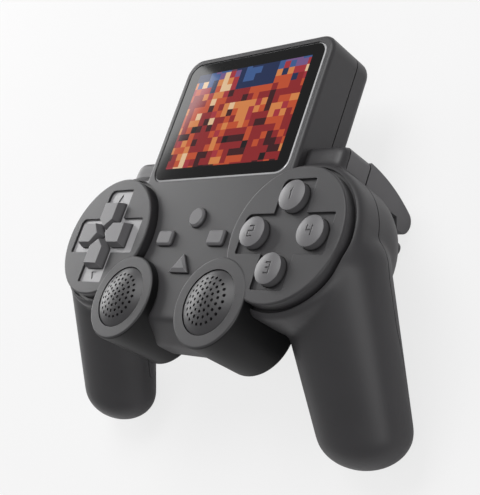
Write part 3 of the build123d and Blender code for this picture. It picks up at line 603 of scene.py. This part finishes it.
def face_cuts():
    """Grooves, cross recesses, marks and the window's recess and opening."""
    tools = []
    for side in (-1, 1):
        middle = (side * lobe_x, lobe_y)
        groove = disc(lobe_radius + lobe_groove, -lobe_groove_depth, lobe_rise + overrun, *middle)
        keep = [
            disc(lobe_radius, -wall, lobe_rise + 2 * overrun, *middle),
            disc(collar_radius, -2 * wall, lobe_rise + 2 * overrun, side * collar_x, collar_y),
        ]
        tools.append(combine(groove, keep, "DIFFERENCE"))
        cross = turned_about(cross_outline(), 0, *middle)
        tools.append(prism(cross, lobe_rise - cross_depth, lobe_rise + overrun))
    low = mark_middle - mark_half
    triangle = [(-mark_half, low), (mark_half, low), (0, low + 2 * mark_half)]
    for turn in (0, 180):
        mark = turned_about(triangle, turn, -lobe_x, lobe_y)
        tools.append(prism(mark, lobe_rise - cross_depth - mark_depth, lobe_rise))
    half_window = (window_width / 2 + fit_gap, window_height / 2 + fit_gap)
    recess = rounded_rectangle(*half_window, window_corner + fit_gap, 0, window_middle)
    opening = rectangle(window_width / 2 - window_ledge, window_height / 2 - window_ledge, 0, window_middle)
    tools.append(prism(recess, -window_thickness, overrun))
    tools.append(prism(opening, window_ledge_low - overrun, overrun))
    return tools


def port_cuts():
    jack = along_y(circle(jack_radius, *jack_place))
    charge = along_y(rounded_rectangle(*charge_half, charge_half[1] - fit_gap, *charge_place))
    slot = along_y(rounded_rectangle(*slot_half, slot_corner, *slot_place))
    return [jack, charge, slot]


def hollow():
    """Room inside the case, with walls left around the shoulder notches."""
    room = screen_block(wall)
    parts = [centre_body(wall)]
    for make in (pod, grip, collar, lobe):
        parts += with_mirror(make, wall)
    combine(room, parts, "UNION")
    return combine(room, with_mirror(shoulder_notch, wall), "DIFFERENCE")


def soft_body(voxel, passes):
    """Pods, grips, shoulders and centre, melted together so that no crease is left between them."""
    body = centre_body(0.0)
    for make in (pod, grip):
        combine(body, with_mirror(make, 0.0), "UNION")
    combine(body, with_mirror(shoulder_hump), "UNION")
    melt = body.modifiers.new("melt", "REMESH")
    melt.mode = "VOXEL"
    melt.voxel_size = voxel
    apply_modifiers(body)
    ease = body.modifiers.new("ease", "SMOOTH")
    ease.factor = ease_factor
    ease.iterations = passes
    apply_modifiers(body)
    return body


def finish_mesh(obj, name):
    """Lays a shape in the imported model, with smooth faces and sharp edges only where it folds."""
    obj.name = name
    obj.data.name = name
    obj.data.transform(face_to_model)
    obj.data.shade_smooth()
    obj.data.set_sharp_from_angle(angle=math.radians(fold_degrees))
    level = obj.modifiers.new("level", "WEIGHTED_NORMAL")
    level.keep_sharp = True
    level.weight = normal_weight
    apply_modifiers(obj)


def paint_regions(mesh):
    """Gives the recess floor of the left lobe, painted pale as a painted reflection, and the speaker collars'
    walls, painted near-black as painted shade, their own material, while still in the face frame.
    """
    recess_high = lobe_rise - cross_depth + region_reach
    recess_low = lobe_rise - cross_depth - mark_depth - fit_gap
    collar_high = collar_rise - collar_round / 2
    for face in mesh.polygons:
        x, y, z = face.center
        lean = face.normal.z
        in_lobe = math.hypot(x + lobe_x, y - lobe_y) < lobe_radius
        in_collar = math.hypot(abs(x) - collar_x, y - collar_y) < collar_radius + region_reach
        face.material_index = 0
        # Painted reflection: only the left lobe's recess floor is painted pale, where the light from the left
        # shines
        if in_lobe and recess_low < z < recess_high and lean > recess_lean:
            face.material_index = 1
        # Painted shade: the collar walls below the ring face are painted near-black
        elif in_collar and -collar_depth < z < collar_high and lean > collar_lean:
            face.material_index = 2


def case_shells(sizes):
    """Front and rear shell of the case in the face frame."""
    case = soft_body(sizes.melt_step / mm, sizes.soften_passes)
    combine(case, [screen_block(0.0)], "UNION")
    over_lobe = (lobe_radius, lobe_rise - fit_gap, lobe_rise + overrun, lobe_x, lobe_y)
    combine(case, with_mirror(disc, *over_lobe), "DIFFERENCE")
    combine(case, with_mirror(lobe, 0.0) + with_mirror(collar, 0.0), "UNION")
    combine(case, [hollow()], "DIFFERENCE")
    combine(case, with_mirror(shoulder_notch), "DIFFERENCE")
    combine(case, port_cuts(), "DIFFERENCE")
    half_gap = sizes.seam_gap / mm / 2
    rear = mesh_object("rear", case.data.copy())
    front = combine(case, [front_side(half_gap)], "INTERSECT")
    half_ledge = (window_width / 2 + window_ledge_margin, window_height / 2 + window_ledge_margin)
    ledge = rounded_rectangle(*half_ledge, window_corner, 0, window_middle)
    combine(front, [prism(ledge, window_ledge_low, window_ledge_high)], "UNION")
    combine(front, face_cuts() + key_holes(), "DIFFERENCE")
    combine(rear, [front_side(-half_gap)], "DIFFERENCE")
    posts = []
    pockets = []
    for x, y, seat, parting in screw_places:
        for side in (-1, 1):
            posts.append(disc(screw_post_radius, seat - overrun / 2, parting - half_gap, side * x, y))
            pockets.append(disc(screw_pocket_radius, seat - 5 * wall, seat, side * x, y))
            pockets.append(disc(screw_hole_radius, seat - overrun, parting + overrun, side * x, y))
    rim = [half + wall for half in cover_half]
    box = [half + bay_wall for half in bay_half]
    low = -block_depth
    solids = [
        prism(rounded_rectangle(*rim, cover_corner, 0, bay_middle), low + wall / 2, cover_seat + wall / 2),
        prism(rectangle(*box, 0, bay_middle), low + wall, bay_top + bay_wall),
    ]
    combine(rear, posts + solids, "UNION")
    lid = [half + fit_gap for half in cover_half]
    room = [
        prism(rounded_rectangle(*lid, cover_corner, 0, bay_middle), low - overrun, cover_seat),
        prism(rectangle(*bay_half, 0, bay_middle), low - overrun, bay_top),
    ]
    combine(rear, room + pockets, "DIFFERENCE")
    return front, rear


def node(tree, kind, *sources, stops=(), **values):
    """Adds a shader node. Sources go to its inputs in order, and named values to the inputs with that name,
    or to its settings where the name starts small. A node among them stands for its first output. Stops are
    the positions and colours of a ramp."""
    made = tree.nodes.new("ShaderNode" + kind)
    inputs = dict(enumerate(sources))
    for key, value in values.items():
        if key[0].isupper():
            inputs[key.replace("_", " ")] = value
        else:
            setattr(made, key, value)
    for key, value in inputs.items():
        if isinstance(value, bpy.types.Node):
            value = value.outputs[0]
        if isinstance(value, bpy.types.NodeSocket):
            tree.links.new(value, made.inputs[key])
        else:
            made.inputs[key].default_value = value
    if stops:
        elements = made.color_ramp.elements
        while len(elements) < len(stops):
            elements.new(0.5)
        for element, (position, colour) in zip(elements, stops):
            element.position = position
            element.color = colour
    return made


def as_material(finish):
    """Turns a function that adds a finish's nodes and gives its shader into one that makes the material."""

    def make(name, *values, **named):
        material = bpy.data.materials.new(name)
        material.use_nodes = True
        tree = material.node_tree
        tree.nodes.clear()
        place = node(tree, "TexCoord").outputs["Object"]
        node(tree, "OutputMaterial", finish(tree, place, *values, **named))
        return material

    return make


def shade_of(colour, factor):
    return [channel * factor for channel in colour[:3]] + [1.0]


@as_material
def moulded_plastic(tree, place, colour, grain, relief, roughness, edge_wear_and_highlight, edge_share=1.0, shine=0.45):
    """Injection-moulded plastic with the grain of its mould and faint cloudy flow marks. Its edges are made
    lighter partly by wear and partly as painted highlight, and its hollows darker partly by dirt and partly
    as painted shade."""
    fine = node(tree, "TexNoise", place, Scale=1 / grain, Detail=2.0)
    flow = node(tree, "TexNoise", place, Scale=1 / flow_mark, Detail=3.0)
    edge_radius = bpy.context.scene.console_sizes.edge_radius * edge_share
    eased = node(tree, "Bevel", Radius=edge_radius, samples=6)
    flat = node(tree, "NewGeometry").outputs["Normal"]
    bend = node(tree, "VectorMath", eased, flat, operation="DOT_PRODUCT").outputs["Value"]
    # Painted highlight, partly wear: edges are made lighter in colour
    edge = node(tree, "ValToRGB", bend, stops=list(zip(edge_bend, (white, black))))
    tints = [shade_of(colour, factor) for factor in flow_tint]
    tint = node(tree, "ValToRGB", flow, stops=list(zip(flow_range, tints)))
    # Painted shade, partly dirt: hollows are made darker in colour in their last millimetre
    open_share = node(tree, "AmbientOcclusion", Distance=hollow_reach, samples=6).outputs["AO"]
    dust_and_shade = (shade_of(white, hollow_shade), white)
    dull = node(tree, "ValToRGB", open_share, stops=list(zip(hollow_range, dust_and_shade)))
    dulled = node(tree, "MixRGB", 1.0, tint, dull, blend_type="MULTIPLY")
    worn_and_highlit = node(tree, "MixRGB", edge, dulled, shade_of(colour, edge_wear_and_highlight))
    spread = plastic_gloss_spread
    gloss = node(tree, "MapRange", flow, To_Min=roughness - spread, To_Max=roughness + spread)
    bump = node(tree, "Bump", Strength=0.5, Distance=relief, Height=fine, Normal=eased)
    return node(
        tree, "BsdfPrincipled",
        Base_Color=worn_and_highlit, Roughness=gloss, Normal=bump, IOR=1.53, Specular_IOR_Level=shine,
    )


@as_material
def rolled_metal(tree, place, colour, roughness):
    """Rolled, drawn or plated metal with fine streaks that stretch its highlights."""
    stretch = node(tree, "Mapping", place, Scale=(1 / streak_width, 1 / streak_length, 1 / streak_width))
    streak = node(tree, "TexNoise", stretch, Scale=1.0, Detail=2.0)
    spread = metal_gloss_spread
    gloss = node(tree, "MapRange", streak, To_Min=roughness - spread, To_Max=roughness + spread)
    bump = node(tree, "Bump", Strength=0.15, Distance=0.02 * mm, Height=streak)
    return node(tree, "BsdfPrincipled", Base_Color=colour, Metallic=1.0, Roughness=gloss, Normal=bump)


@as_material
def woven_laminate(tree, place, colour, trace_colour):
    """Glass-fibre circuit laminate under green lacquer: a faint weave and lighter copper runs beneath."""
    weave = node(
        tree, "TexBrick", place, Scale=1 / weave_pitch,
        Color1=colour, Color2=shade_of(colour, weave_tint), Mortar=trace_colour, Mortar_Size=0.06,
    )
    return node(tree, "BsdfPrincipled", Base_Color=weave, Roughness=0.3, IOR=1.55)


@as_material
def cast_silicone(tree, place, colour):
    """Cast silicone, and the film of the ribbon, which looks alike: soft and milky, with a matt bloom."""
    cloud = node(tree, "TexNoise", place, Scale=1 / cloud_size)
    tints = (shade_of(colour, cloud_tint), colour)
    tint = node(tree, "ValToRGB", cloud, stops=list(zip(cloud_range, tints)))
    return node(tree, "BsdfPrincipled", Base_Color=tint, Roughness=0.6, IOR=1.41, Subsurface_Weight=0.1)


def face_coordinates(tree, place):
    """Coordinates in millimetres in the console's face frame."""
    tilt = -math.radians(face_tilt_degrees)
    shift = -(Matrix.Rotation(tilt, 3, "X") @ Vector(face_shift))
    return node(tree, "Mapping", place, Location=shift, Rotation=(tilt, 0, 0), Scale=(1 / mm,) * 3)


def pixel_picture(tree, face, colours):
    """Emission colour of the lit display: an abstract mosaic of square cells, dark outside the picture."""
    snapped = node(tree, "VectorMath", face, (colours.cell_size / mm,) * 3, operation="SNAP")
    cell = node(tree, "VectorMath", snapped, (1, 1, 0), operation="MULTIPLY")
    swirl = node(tree, "TexNoise", cell, Scale=patches_per_mm, Detail=2.5, Roughness=0.6, Distortion=1.6)
    speck = node(tree, "TexWhiteNoise", cell, noise_dimensions="3D")
    level = node(tree, "Math", speck, odd_cell_share, swirl, operation="MULTIPLY_ADD")
    halves = []
    for colour_steps in (warm_picture, cool_picture):
        steps = [(position, linear(code)) for position, code in colour_steps]
        halves.append(node(tree, "ValToRGB", level, stops=steps))
        halves[-1].color_ramp.interpolation = "CONSTANT"
    height = node(tree, "SeparateXYZ", cell).outputs["Y"]
    lift = node(tree, "Math", swirl, -picture_height, height, operation="MULTIPLY_ADD")
    sky = node(tree, "Math", lift, sky_height, operation="GREATER_THAN")
    picture = node(tree, "MixRGB", sky, *halves)
    spots = node(tree, "SeparateXYZ", face).outputs
    across = node(tree, "Math", spots["X"], 0, picture_width / 2, operation="COMPARE")
    upright = node(tree, "Math", spots["Y"], window_middle, picture_height / 2, operation="COMPARE")
    shown = node(tree, "Math", across, upright, operation="MULTIPLY")
    return node(tree, "MixRGB", shown, black, picture)


@as_material
def printed_glass(tree, place, colours):
    """Toughened glass printed black on its back, clear over the lit display, with a polished silver bevel
    whose bright reflection is painted: a near-white that is mostly non-metallic.
    """
    face = face_coordinates(tree, place)
    glass = node(
        tree, "BsdfPrincipled",
        Base_Color=colours.glass, Roughness=0.07, IOR=1.52, Specular_IOR_Level=0.25,
        Emission_Color=pixel_picture(tree, face, colours), Emission_Strength=colours.picture_light,
    )
    polish = node(tree, "TexNoise", face, Scale=polish_per_mm)
    gloss = node(tree, "MapRange", polish, To_Min=0.16, To_Max=0.3)
    # Painted reflection: the silver bevel is a mostly non-metallic near-white, so it shows bright as its
    # mirror would
    bevel = node(tree, "BsdfPrincipled", Base_Color=colours.silver_and_painted_reflection, Metallic=0.25, Roughness=gloss)
    facing = node(tree, "TexCoord").outputs["Normal"]
    outward = face_place.to_3x3() @ Vector((0, 0, 1))
    lean = node(tree, "VectorMath", facing, outward, operation="DOT_PRODUCT").outputs["Value"]
    sloped = node(tree, "Math", lean, bevel_lean, bevel_lean_reach, operation="COMPARE")
    return node(tree, "MixShader", sloped, glass, bevel)


@as_material
def lit_display(tree, place, colours):
    """Liquid-crystal panel behind the window, lit through the same picture."""
    picture = pixel_picture(tree, face_coordinates(tree, place), colours)
    return node(
        tree, "BsdfPrincipled", Base_Color=colours.glass, Roughness=0.3,
        Emission_Color=picture, Emission_Strength=colours.picture_light,
    )


def background_share(tree):
    """One for what the camera sees directly, less for what is mirrored or seen through glass, else zero."""
    path = node(tree, "LightPath").outputs
    mirrored = node(tree, "Math", path["Is Glossy Ray"], path["Is Transmission Ray"], operation="MAXIMUM")
    direct = path["Is Camera Ray"]
    return node(tree, "Math", mirrored, mirrored_background, direct, operation="MULTIPLY_ADD")


@as_material
def painted_floor(tree, place, colour, glow):
    """Matt rolled paint with a faint texture; the camera sees it a little brighter than it is."""
    grain = node(tree, "TexNoise", place, Scale=1 / floor_grain, Detail=2.0)
    bump = node(tree, "Bump", Strength=0.05, Distance=0.05 * mm, Height=grain)
    paint = node(tree, "BsdfPrincipled", Base_Color=colour, Roughness=0.9, Normal=bump)
    shine = node(tree, "Emission", Color=white, Strength=floor_white)
    share = node(tree, "Math", background_share(tree), glow, operation="MULTIPLY")
    return node(tree, "MixShader", share, paint, shine)


def colour_property(name, description, code):
    return bpy.props.FloatVectorProperty(
        name=name, description=description, subtype="COLOR", size=4, min=0.0, max=1.0, default=linear(code)
    )


def number_property(name, description, default, low, high, **kind):
    """Property for a number between a low and a high limit."""
    kind.update(name=name, description=description, default=default, min=low, max=high)
    return bpy.props.FloatProperty(**kind)


def length_property(*values):
    """Number property in metres."""
    return number_property(*values, precision=5, unit="LENGTH")


def lamp_property(*values):
    """Number property in watts, from its name, description and default."""
    return number_property(*values, 0.0, 50.0, unit="POWER")


class ConsoleSizes(bpy.types.PropertyGroup):
    """Sizes of the case that a user would change."""

    melt_step: length_property(
        "Melt step", "Grid step at which the body's forms are melted together", 0.8 * mm, 0.4 * mm, 3 * mm
    )
    soften_passes: bpy.props.IntProperty(
        name="Soften passes", description="How often the melted body is eased; more gives softer blends",
        default=24, min=0, max=100,
    )
    seam_gap: length_property(
        "Seam gap", "Width of the dark line between the front and rear shell", 0.4 * mm, 0.0, 1 * mm
    )
    case_grain: length_property(
        "Case grain", "Width of the eroded grain on the case, drawn coarse enough to show",
        0.45 * mm, 0.05 * mm, 2 * mm,
    )
    edge_radius: length_property(
        "Edge radius", "Radius at which moulded edges catch the light", 0.3 * mm, 0.0, 1 * mm
    )


class ConsoleColours(bpy.types.PropertyGroup):
    """Colours of the console that a user would change."""

    case: colour_property("Case", "Charcoal plastic of the case", "#383739")
    # Painted reflection: the left lobe's recess floor is painted this pale for the light from the left that
    # it reflects
    recess: colour_property("Recess", "Glossier floor of the direction keys' recess", "#a2a1a3")
    # Painted shade: the speaker collars' walls are painted this near-black for the shade that falls on them
    collar: colour_property("Collar", "Black plastic of the speaker collars", "#181819")
    grille: colour_property("Grille", "Dark plastic of the speaker grilles", "#3a393b")
    keys: colour_property("Keys", "Lighter plastic of the keys", "#6a696b")
    shoulder: colour_property("Shoulder keys", "Plastic of the shoulder keys and triggers", "#626163")
    glass: colour_property("Window", "Black print behind the glass", "#060607")
    # Painted reflection: near-white silver, mostly non-metallic on the bevel, standing in for its bright
    # reflection
    silver_and_painted_reflection: colour_property("Bevel", "Bright bevel round the window", "#f2f2f4")
    cell_size: length_property(
        "Picture cell", "Side of one square cell of the display's mosaic", 3 * mm, 0.2 * mm, 10 * mm
    )
    picture_light: number_property("Picture light", "Strength of the lit display", 0.85, 0.0, 5.0)


class ConsoleStage(bpy.types.PropertyGroup):
    """Floor and light of the stage."""

    floor: colour_property("Floor", "Pale paint of the floor", "#f1f0f1")
    floor_glow: number_property(
        "Floor glow", "Share of plain white that the camera sees in the floor",
        0.8, 0.0, 1.0, subtype="FACTOR",
    )
    world_light: number_property("Room light", "Strength of the even light from all around", 0.26, 0.0, 2.0)
    key_light: lamp_property("Key light", "Power of the large soft lamp", 3.2)
    left_light: lamp_property("Left light", "Power of the low lamp on the left", 3.4)
    side_light: lamp_property("Side light", "Power of the long lamp on the right", 1.4)


def give(material, *names):
    """Puts one material on every slot of the named CAD nodes."""
    for name in names:
        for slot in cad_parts[name].material_slots:
            slot.link = "OBJECT"
            slot.material = material


class CONSOLE_OT_case(bpy.types.Operator):
    """Makes the front and rear shell of the case"""

    bl_idname = "console.case"
    bl_label = "Case shells"

    def execute(self, context):
        sizes = context.scene.console_sizes
        colours = context.scene.console_colours
        front, rear = case_shells(sizes)
        # Eroded in the mould: dry and soft, it spreads the light over the lobes and grips
        body = moulded_plastic(
            "abs_eroded_charcoal", colours.case,
            grain=sizes.case_grain, relief=0.03 * mm, roughness=0.42, edge_wear_and_highlight=1.5,
        )
        # Polished in the mould, in slow waves. The left lobe's recess floor is painted much paler than the
        # face
        # round it: a painted reflection of the light from the left
        floor = moulded_plastic(
            "abs_polished_recess", colours.recess,
            grain=3 * mm, relief=0.01 * mm, roughness=0.22, edge_wear_and_highlight=1.3,
        )
        # Satin black, with painted shade: the collar walls are painted near-black for the shade on them, and
        # their rims are made lighter partly by wear and partly as painted highlight
        painted_shade_drum = moulded_plastic(
            "abs_satin_black", colours.collar,
            grain=sizes.case_grain, relief=0.02 * mm, roughness=0.4, edge_wear_and_highlight=2.4, shine=0.2,
        )
        for shell in (front, rear):
            shell.data.materials.clear()
            for material in (body, floor, painted_shade_drum):
                shell.data.materials.append(material)
            paint_regions(shell.data)
        finish_mesh(front, "front_shell")
        finish_mesh(rear, "rear_shell")
        for shell, replaced in ((front, "front_case"), (rear, "rear_case")):
            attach(shell, "case")
            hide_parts(replaced)
        return {"FINISHED"}


class CONSOLE_OT_keys(bpy.types.Operator):
    """Finishes the direction keys, action buttons and centre keys"""

    bl_idname = "console.keys"
    bl_label = "Keys"

    def execute(self, context):
        # Satin from the mould: smoother than the case, so each key has a soft gleam
        key = moulded_plastic(
            "abs_satin_key_grey", context.scene.console_colours.keys,
            grain=0.35 * mm, relief=0.01 * mm, roughness=0.34, edge_wear_and_highlight=1.5,
        )
        give(key, *(f"pad_{way}" for way in ("up", "left", "down", "right")))
        give(key, *(f"button_{way}" for way in ("north", "west", "south", "east")))
        give(key, *(f"key_{use}" for use in ("reset", "select", "start", "volume")))
        rubber = cast_silicone("silicone_cast_grey", linear("#8d8f90"))
        give(rubber, "pad_membrane", "action_membrane", "menu_membrane")
        return {"FINISHED"}


class CONSOLE_OT_screen(bpy.types.Operator):
    """Finishes the window and the display behind it"""

    bl_idname = "console.screen"
    bl_label = "Screen"

    def execute(self, context):
        colours = context.scene.console_colours
        give(printed_glass("glass_printed_black", colours), "screen_window")
        give(lit_display("display_lit_panel", colours), "screen_panel")
        give(rolled_metal("steel_rolled_tray", linear("#a9abad"), 0.35), "screen_tray")
        give(cast_silicone("polyimide_amber_ribbon", linear("#a8641c")), "screen_ribbon")
        return {"FINISHED"}


class CONSOLE_OT_speakers(bpy.types.Operator):
    """Finishes the domed grilles and the loudspeakers in their collars"""

    bl_idname = "console.speakers"
    bl_label = "Speakers"

    def execute(self, context):
        # Thin and satin, with fine lit rims round its holes
        dome = moulded_plastic(
            "abs_satin_grille", context.scene.console_colours.grille,
            grain=0.4 * mm, relief=0.015 * mm, roughness=0.4, edge_wear_and_highlight=1.6, edge_share=1 / 3,
        )
        # Coarse from the mould: dull and nearly black
        ring = moulded_plastic(
            "abs_black_ring", linear("#1c1c1d"),
            grain=0.5 * mm, relief=0.02 * mm, roughness=0.5, edge_wear_and_highlight=1.3,
        )
        basket = rolled_metal("steel_plated_basket", linear("#8f9194"), 0.4)
        for side in ("left", "right"):
            give(dome, f"speaker_grille_{side}")
            give(basket, f"speaker_{side}")
            give(ring, f"speaker_ring_{side}")
        return {"FINISHED"}


class CONSOLE_OT_shoulders(bpy.types.Operator):
    """Finishes the shoulder keys, triggers, their brackets and pins"""

    bl_idname = "console.shoulders"
    bl_label = "Shoulder keys and triggers"

    def execute(self, context):
        # Satin like the keys, a little drier where fingers pull it
        cap = moulded_plastic(
            "abs_satin_shoulder", context.scene.console_colours.shoulder,
            grain=0.4 * mm, relief=0.015 * mm, roughness=0.38, edge_wear_and_highlight=1.6,
        )
        # Coarse from the mould: dull and nearly black
        bracket = moulded_plastic(
            "abs_black_bracket", linear("#1f1f20"),
            grain=0.5 * mm, relief=0.02 * mm, roughness=0.5, edge_wear_and_highlight=1.3,
        )
        pin = rolled_metal("steel_ground_pin", linear("#b4b6b9"), 0.25)
        for side in ("left", "right"):
            give(cap, f"shoulder_key_{side}", f"trigger_{side}")
            give(bracket, f"shoulder_bracket_{side}")
            give(pin, f"trigger_pin_{side}")
        return {"FINISHED"}


class CONSOLE_OT_ports_and_back(bpy.types.Operator):
    """Finishes the ports, the power switch, the battery and its cover, and the case screws"""

    bl_idname = "console.ports_and_back"
    bl_label = "Ports and back"

    def execute(self, context):
        colours = context.scene.console_colours
        # Eroded like the case, a little drier
        cover = moulded_plastic(
            "abs_eroded_cover", colours.case,
            grain=context.scene.console_sizes.case_grain, relief=0.03 * mm, roughness=0.46, edge_wear_and_highlight=1.5,
        )
        # Nylon comes duller than ABS, and shines only at its very corners
        jack = moulded_plastic(
            "nylon_black_jack", linear("#151516"),
            grain=0.5 * mm, relief=0.02 * mm, roughness=0.45, edge_wear_and_highlight=1.4, edge_share=0.5,
        )
        # Satin like the keys; its edges are made lighter partly by wear and partly as painted highlight
        knob = moulded_plastic(
            "abs_satin_knob", colours.keys,
            grain=0.35 * mm, relief=0.01 * mm, roughness=0.36, edge_wear_and_highlight=1.4, edge_share=0.5,
        )
        give(cover, "battery_cover")
        give(jack, "audio_jack", "power_switch")
        give(knob, "power_knob")
        give(rolled_metal("steel_drawn_shell", linear("#b9bbbd"), 0.28), "charging_socket")
        give(rolled_metal("steel_black_screws", linear("#77797c"), 0.35), "case_screws")
        give(rolled_metal("aluminium_cell_foil", linear("#c3c6c9"), 0.45), "battery")
        give(rolled_metal("brass_stamped_contacts", linear("#c7a04e"), 0.3), "battery_contacts")
        return {"FINISHED"}


class CONSOLE_OT_inside(bpy.types.Operator):
    """Finishes the circuit board and what stands on it"""

    bl_idname = "console.inside"
    bl_label = "Circuit board"

    def execute(self, context):
        # Filled epoxy comes from its mould matt and nearly black
        resin = moulded_plastic(
            "epoxy_moulded_chip", linear("#1b1b1c"),
            grain=0.3 * mm, relief=0.01 * mm, roughness=0.5, edge_wear_and_highlight=1.4, edge_share=1 / 3,
        )
        give(resin, "processor_chip", "memory_chip")
        board = woven_laminate("laminate_green_lacquered", linear("#0f4a2c"), linear("#2f7a4c"))
        give(board, "circuit_board")
        metal = rolled_metal("steel_plated_small_parts", linear("#b0b2b5"), 0.3)
        give(metal, "crystal", "capacitors", "board_screws")
        return {"FINISHED"}


class CONSOLE_OT_stage(bpy.types.Operator):
    """Sets the floor, the light and the camera"""

    bl_idname = "console.stage"
    bl_label = "Stage"

    def execute(self, context):
        scene = context.scene
        stage = scene.console_stage
        shape = bmesh.new()
        shape.faces.new([shape.verts.new((*point, 0)) for point in circle(floor_reach)])
        mesh = bpy.data.meshes.new("floor")
        shape.to_mesh(mesh)
        shape.free()
        floor = mesh_object("floor", mesh)
        mesh.materials.append(painted_floor("paint_matt_white", stage.floor, stage.floor_glow))
        turns = [Matrix.Rotation(angle, 3, axis) for angle, axis in zip(camera_turns, "YXZ")]
        view = (turns[0] @ turns[1] @ turns[2]).transposed()
        turn = face_place.to_3x3() @ view
        lens = bpy.data.cameras.new("camera")
        lens.lens = camera_lens
        lens.sensor_width = camera_sensor
        lens.clip_start = camera_near
        camera = bpy.data.objects.new("camera", lens)
        camera.matrix_world = Matrix.Translation(face_to_model @ camera_place) @ turn.to_4x4()
        scene.collection.objects.link(camera)
        scene.camera = camera
        for name, (way, width, height) in lamps.items():
            light = bpy.data.lights.new(f"{name}_lamp", "AREA")
            light.shape = "RECTANGLE"
            light.size = width
            light.size_y = height
            light.energy = getattr(stage, f"{name}_light")
            lamp = bpy.data.objects.new(f"{name}_lamp", light)
            lamp.location = way.normalized() * lamp_distance
            lamp.rotation_euler = way.to_track_quat("Z", "Y").to_euler()
            scene.collection.objects.link(lamp)
        world = bpy.data.worlds.new("room")
        scene.world = world
        world.use_nodes = True
        tree = world.node_tree
        tree.nodes.clear()
        level = node(tree, "MapRange", background_share(tree), To_Min=stage.world_light, To_Max=room_white)
        light = node(tree, "Background", Color=white, Strength=level)
        node(tree, "OutputWorld", light)
        scene.view_settings.view_transform = "Standard"
        return {"FINISHED"}


class CONSOLE_PT_panel(bpy.types.Panel):
    """Lists the console's pieces in the sidebar"""

    bl_idname = "CONSOLE_PT_panel"
    bl_label = "Handheld console"
    bl_space_type = "VIEW_3D"
    bl_region_type = "UI"
    bl_category = "Console"

    def draw(self, context):
        scene = context.scene
        for group in (scene.console_sizes, scene.console_colours, scene.console_stage):
            box = self.layout.box()
            for key in group.bl_rna.properties.keys():
                if key not in ("rna_type", "name"):
                    box.prop(group, key)
        for operator in operators:
            self.layout.operator(operator.bl_idname)


groups = (ConsoleSizes, ConsoleColours, ConsoleStage)
operators = (
    CONSOLE_OT_case,
    CONSOLE_OT_keys,
    CONSOLE_OT_screen,
    CONSOLE_OT_speakers,
    CONSOLE_OT_shoulders,
    CONSOLE_OT_ports_and_back,
    CONSOLE_OT_inside,
    CONSOLE_OT_stage,
)


def register():
    for one in groups + operators + (CONSOLE_PT_panel,):
        bpy.utils.register_class(one)
    bpy.types.Scene.console_sizes = bpy.props.PointerProperty(type=ConsoleSizes)
    bpy.types.Scene.console_colours = bpy.props.PointerProperty(type=ConsoleColours)
    bpy.types.Scene.console_stage = bpy.props.PointerProperty(type=ConsoleStage)


def unregister():
    del bpy.types.Scene.console_stage
    del bpy.types.Scene.console_colours
    del bpy.types.Scene.console_sizes
    for one in reversed(groups + operators + (CONSOLE_PT_panel,)):
        bpy.utils.unregister_class(one)


def main():
    """Registers the classes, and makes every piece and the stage."""
    register()
    for operator in operators:
        piece = operator.bl_idname.removeprefix("console.")
        getattr(bpy.ops.console, piece)()


if __name__ == "__main__":
    main()
